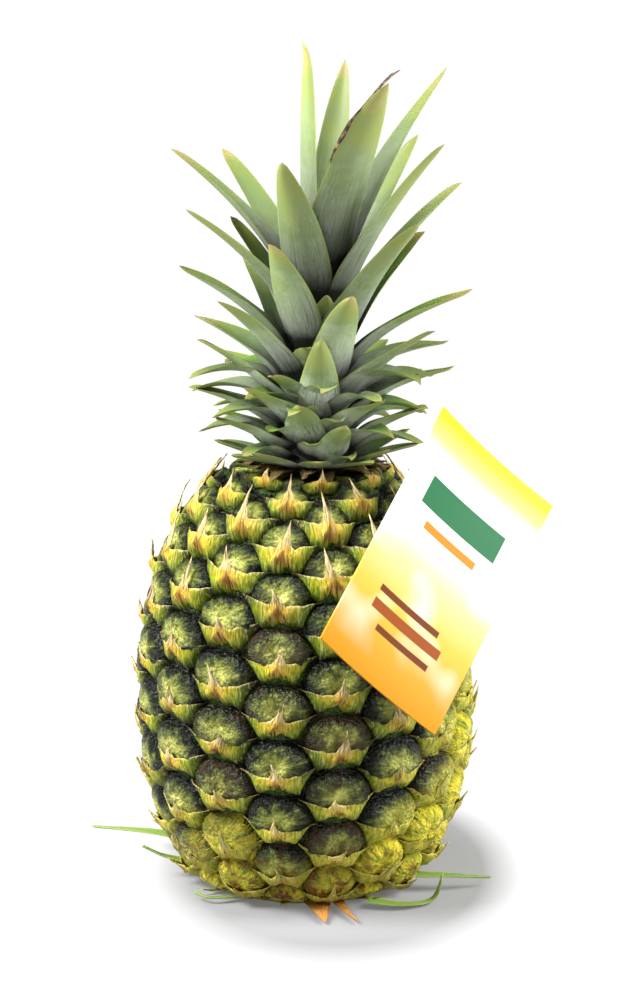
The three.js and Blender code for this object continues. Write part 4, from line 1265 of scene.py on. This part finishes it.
# Each bar: its middle across and along the card and its half sizes, in mm, and its colour.
BARS = [
    (0, 70, 19, 5.5, "#266a42"),
    (0, 59, 13, 1.6, "#c4801c"),
    (-2, 30, 15, 1.3, "#6e3412"),
    (0, 24, 17, 2.0, "#924816"),
    (2, 17.5, 13, 1.3, "#6e3412"),
]
for middle_x, middle_y, half_x, half_y, colour in BARS:
    offset = add(tree, "VectorMath", {0: print_place, 1: (middle_x, middle_y, 0)}, operation="SUBTRACT")
    offset = add(tree, "VectorMath", {0: offset}, operation="ABSOLUTE")
    inside_x = add(
        tree, "MapRange", {0: add(tree, "SeparateXYZ", {0: offset}, out=0), 1: half_x, 2: half_x - 0.2}
    )
    inside_y = add(
        tree, "MapRange", {0: add(tree, "SeparateXYZ", {0: offset}, out=1), 1: half_y, 2: half_y - 0.2}
    )
    inside = add(tree, "Math", {0: inside_x, 1: inside_y}, operation="MULTIPLY")
    card_colour = add(tree, "Mix", {0: inside, 6: card_colour, 7: linear(colour)}, **RGBA)
card_surface = add(
    tree,
    "BsdfPrincipled",
    {"Base Color": card_colour, "Roughness": 0.35, "IOR": 1.5, "Specular IOR Level": 0.2},
)
add(tree, "OutputMaterial", {"Surface": card_surface})
tag_mesh.materials.append(card)

# The back is the bare white board.
board, tree = new_material("uncoated_card_back")
board_grain = add(
    tree,
    "TexNoise",
    {"Vector": add(tree, "TexCoord", {}, out=3), "Scale": 900.0, "Detail": 3.0, "Roughness": 0.6},
)
board_colour = add(tree, "ValToRGB", {0: board_grain}, stops=[(0.35, "#e9e6dc"), (0.65, "#f6f4ec")])
board_bump = add(tree, "Bump", {"Height": board_grain, "Strength": 0.3, "Distance": 0.0002})
bare_board = add(
    tree, "BsdfPrincipled", {"Base Color": board_colour, "Roughness": 0.75, "Normal": board_bump}
)
add(tree, "OutputMaterial", {"Surface": bare_board})
tag_mesh.materials.append(board)
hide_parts("tag")
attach(tag, "root")


# The floor, the light and the camera.
# A white studio floor that glows evenly away from the fruit. Round its foot the glow fades out in an
# oval and the floor turns grey, a painted shadow in which the lamps' real shadows also fall, painted
# darker still towards the front. Large soft lights from the left and the right and a weak one from
# the front, and the camera a little above the fruit's middle, looking down at it.
FLOOR_HALF = 6.0
floor_shape = bmesh.new()
bmesh.ops.create_grid(floor_shape, x_segments=1, y_segments=1, size=FLOOR_HALF)
floor_mesh = bpy.data.meshes.new("floor")
floor_shape.to_mesh(floor_mesh)
floor_shape.free()
floor = new_piece("floor", floor_mesh)
white_floor, tree = new_material("white_floor")
floor_place = add(tree, "TexCoord", {}, out=3)
# An oval round the fruit's foot, set to the size of its shadow: inside it the glow fades and the floor
# turns grey, a painted shadow.
from_middle = add(
    tree,
    "VectorMath",
    {0: floor_place, 1: (1 / 0.056, 1 / 0.088, 0), 2: (-0.2, -0.08, 0)},
    operation="MULTIPLY_ADD",
)
from_middle = add(tree, "VectorMath", {0: from_middle}, out=1, operation="LENGTH")
glow_beyond_painted_shadow = add(tree, "MapRange", {0: from_middle, 1: 0.95, 2: 1.2, 3: 0.12})
floor_colour = add(tree, "ValToRGB", {0: glow_beyond_painted_shadow}, stops=[(0.12, "#89898b"), (1.0, "#000000")])
# Painted shadow: the floor is darker towards the front of the oval.
toward_front = add(tree, "SeparateXYZ", {0: floor_place}, out=1)
front_shade = add(tree, "MapRange", {0: toward_front, 1: -0.04, 2: -0.075, 3: 1.0, 4: 0.66})
floor_colour = add(
    tree, "Mix", {0: 1.0, 6: floor_colour, 7: front_shade}, **RGBA, blend_type="MULTIPLY"
)
floor_surface = add(
    tree,
    "BsdfPrincipled",
    {
        "Base Color": floor_colour,
        "Roughness": 0.9,
        "Emission Color": (1, 1, 1, 1),
        "Emission Strength": glow_beyond_painted_shadow,
    },
)
add(tree, "OutputMaterial", {"Surface": floor_surface})
floor_mesh.materials.append(white_floor)

scene = bpy.context.scene
world = bpy.data.worlds.new("studio")
world.use_nodes = True
world.node_tree.nodes.clear()
sky = add(world.node_tree, "Background", {"Color": (1, 1, 1, 1), "Strength": 0.12})
add(world.node_tree, "OutputWorld", {"Surface": sky})
scene.world = world

LIGHTS = [
    ("key_left", (-0.8, -0.2, 0.8), 0.5, 27, (0, 0, 0.15)),
    ("rim_right", (0.85, 0.0, 0.6), 0.6, 18, (0, 0, 0.1)),
    ("fill_front", (-0.5, -1.2, 0.7), 0.5, 3.0, (0, 0, 0.14)),
    ("glint_right", (0.4, -0.8, 0.8), 0.05, 1.3, (0, 0, 0.12)),
    ("top", (-0.12, -0.1, 1.2), 0.3, 10, (0, 0, 0.1)),
]
for name, place, size, power, target in LIGHTS:
    lamp = bpy.data.lights.new(name, "AREA")
    lamp.shape = "SQUARE"
    lamp.size = size
    lamp.energy = power
    holder = bpy.data.objects.new(name, lamp)
    holder.location = place
    holder.rotation_euler = (Vector(target) - Vector(place)).to_track_quat("-Z", "Y").to_euler()
    scene.collection.objects.link(holder)

CAMERA_TARGET = Vector((0.0029, 0, 0.1384))
CAMERA_DISTANCE = 1.3
CAMERA_ELEVATION = math.radians(13)
METRES_PER_PIXEL = 0.000354
IMAGE_HEIGHT = 1001
SENSOR_HEIGHT = 24
camera_data = bpy.data.cameras.new("camera")
camera = bpy.data.objects.new("camera", camera_data)
camera.location = CAMERA_TARGET + CAMERA_DISTANCE * Vector(
    (0, -math.cos(CAMERA_ELEVATION), math.sin(CAMERA_ELEVATION))
)
camera.rotation_euler = (CAMERA_TARGET - camera.location).to_track_quat("-Z", "Y").to_euler()
camera_data.sensor_fit = "VERTICAL"
camera_data.sensor_height = SENSOR_HEIGHT
camera_data.lens = SENSOR_HEIGHT * CAMERA_DISTANCE / (IMAGE_HEIGHT * METRES_PER_PIXEL)
scene.collection.objects.link(camera)
scene.camera = camera
scene.view_settings.view_transform = "Standard"
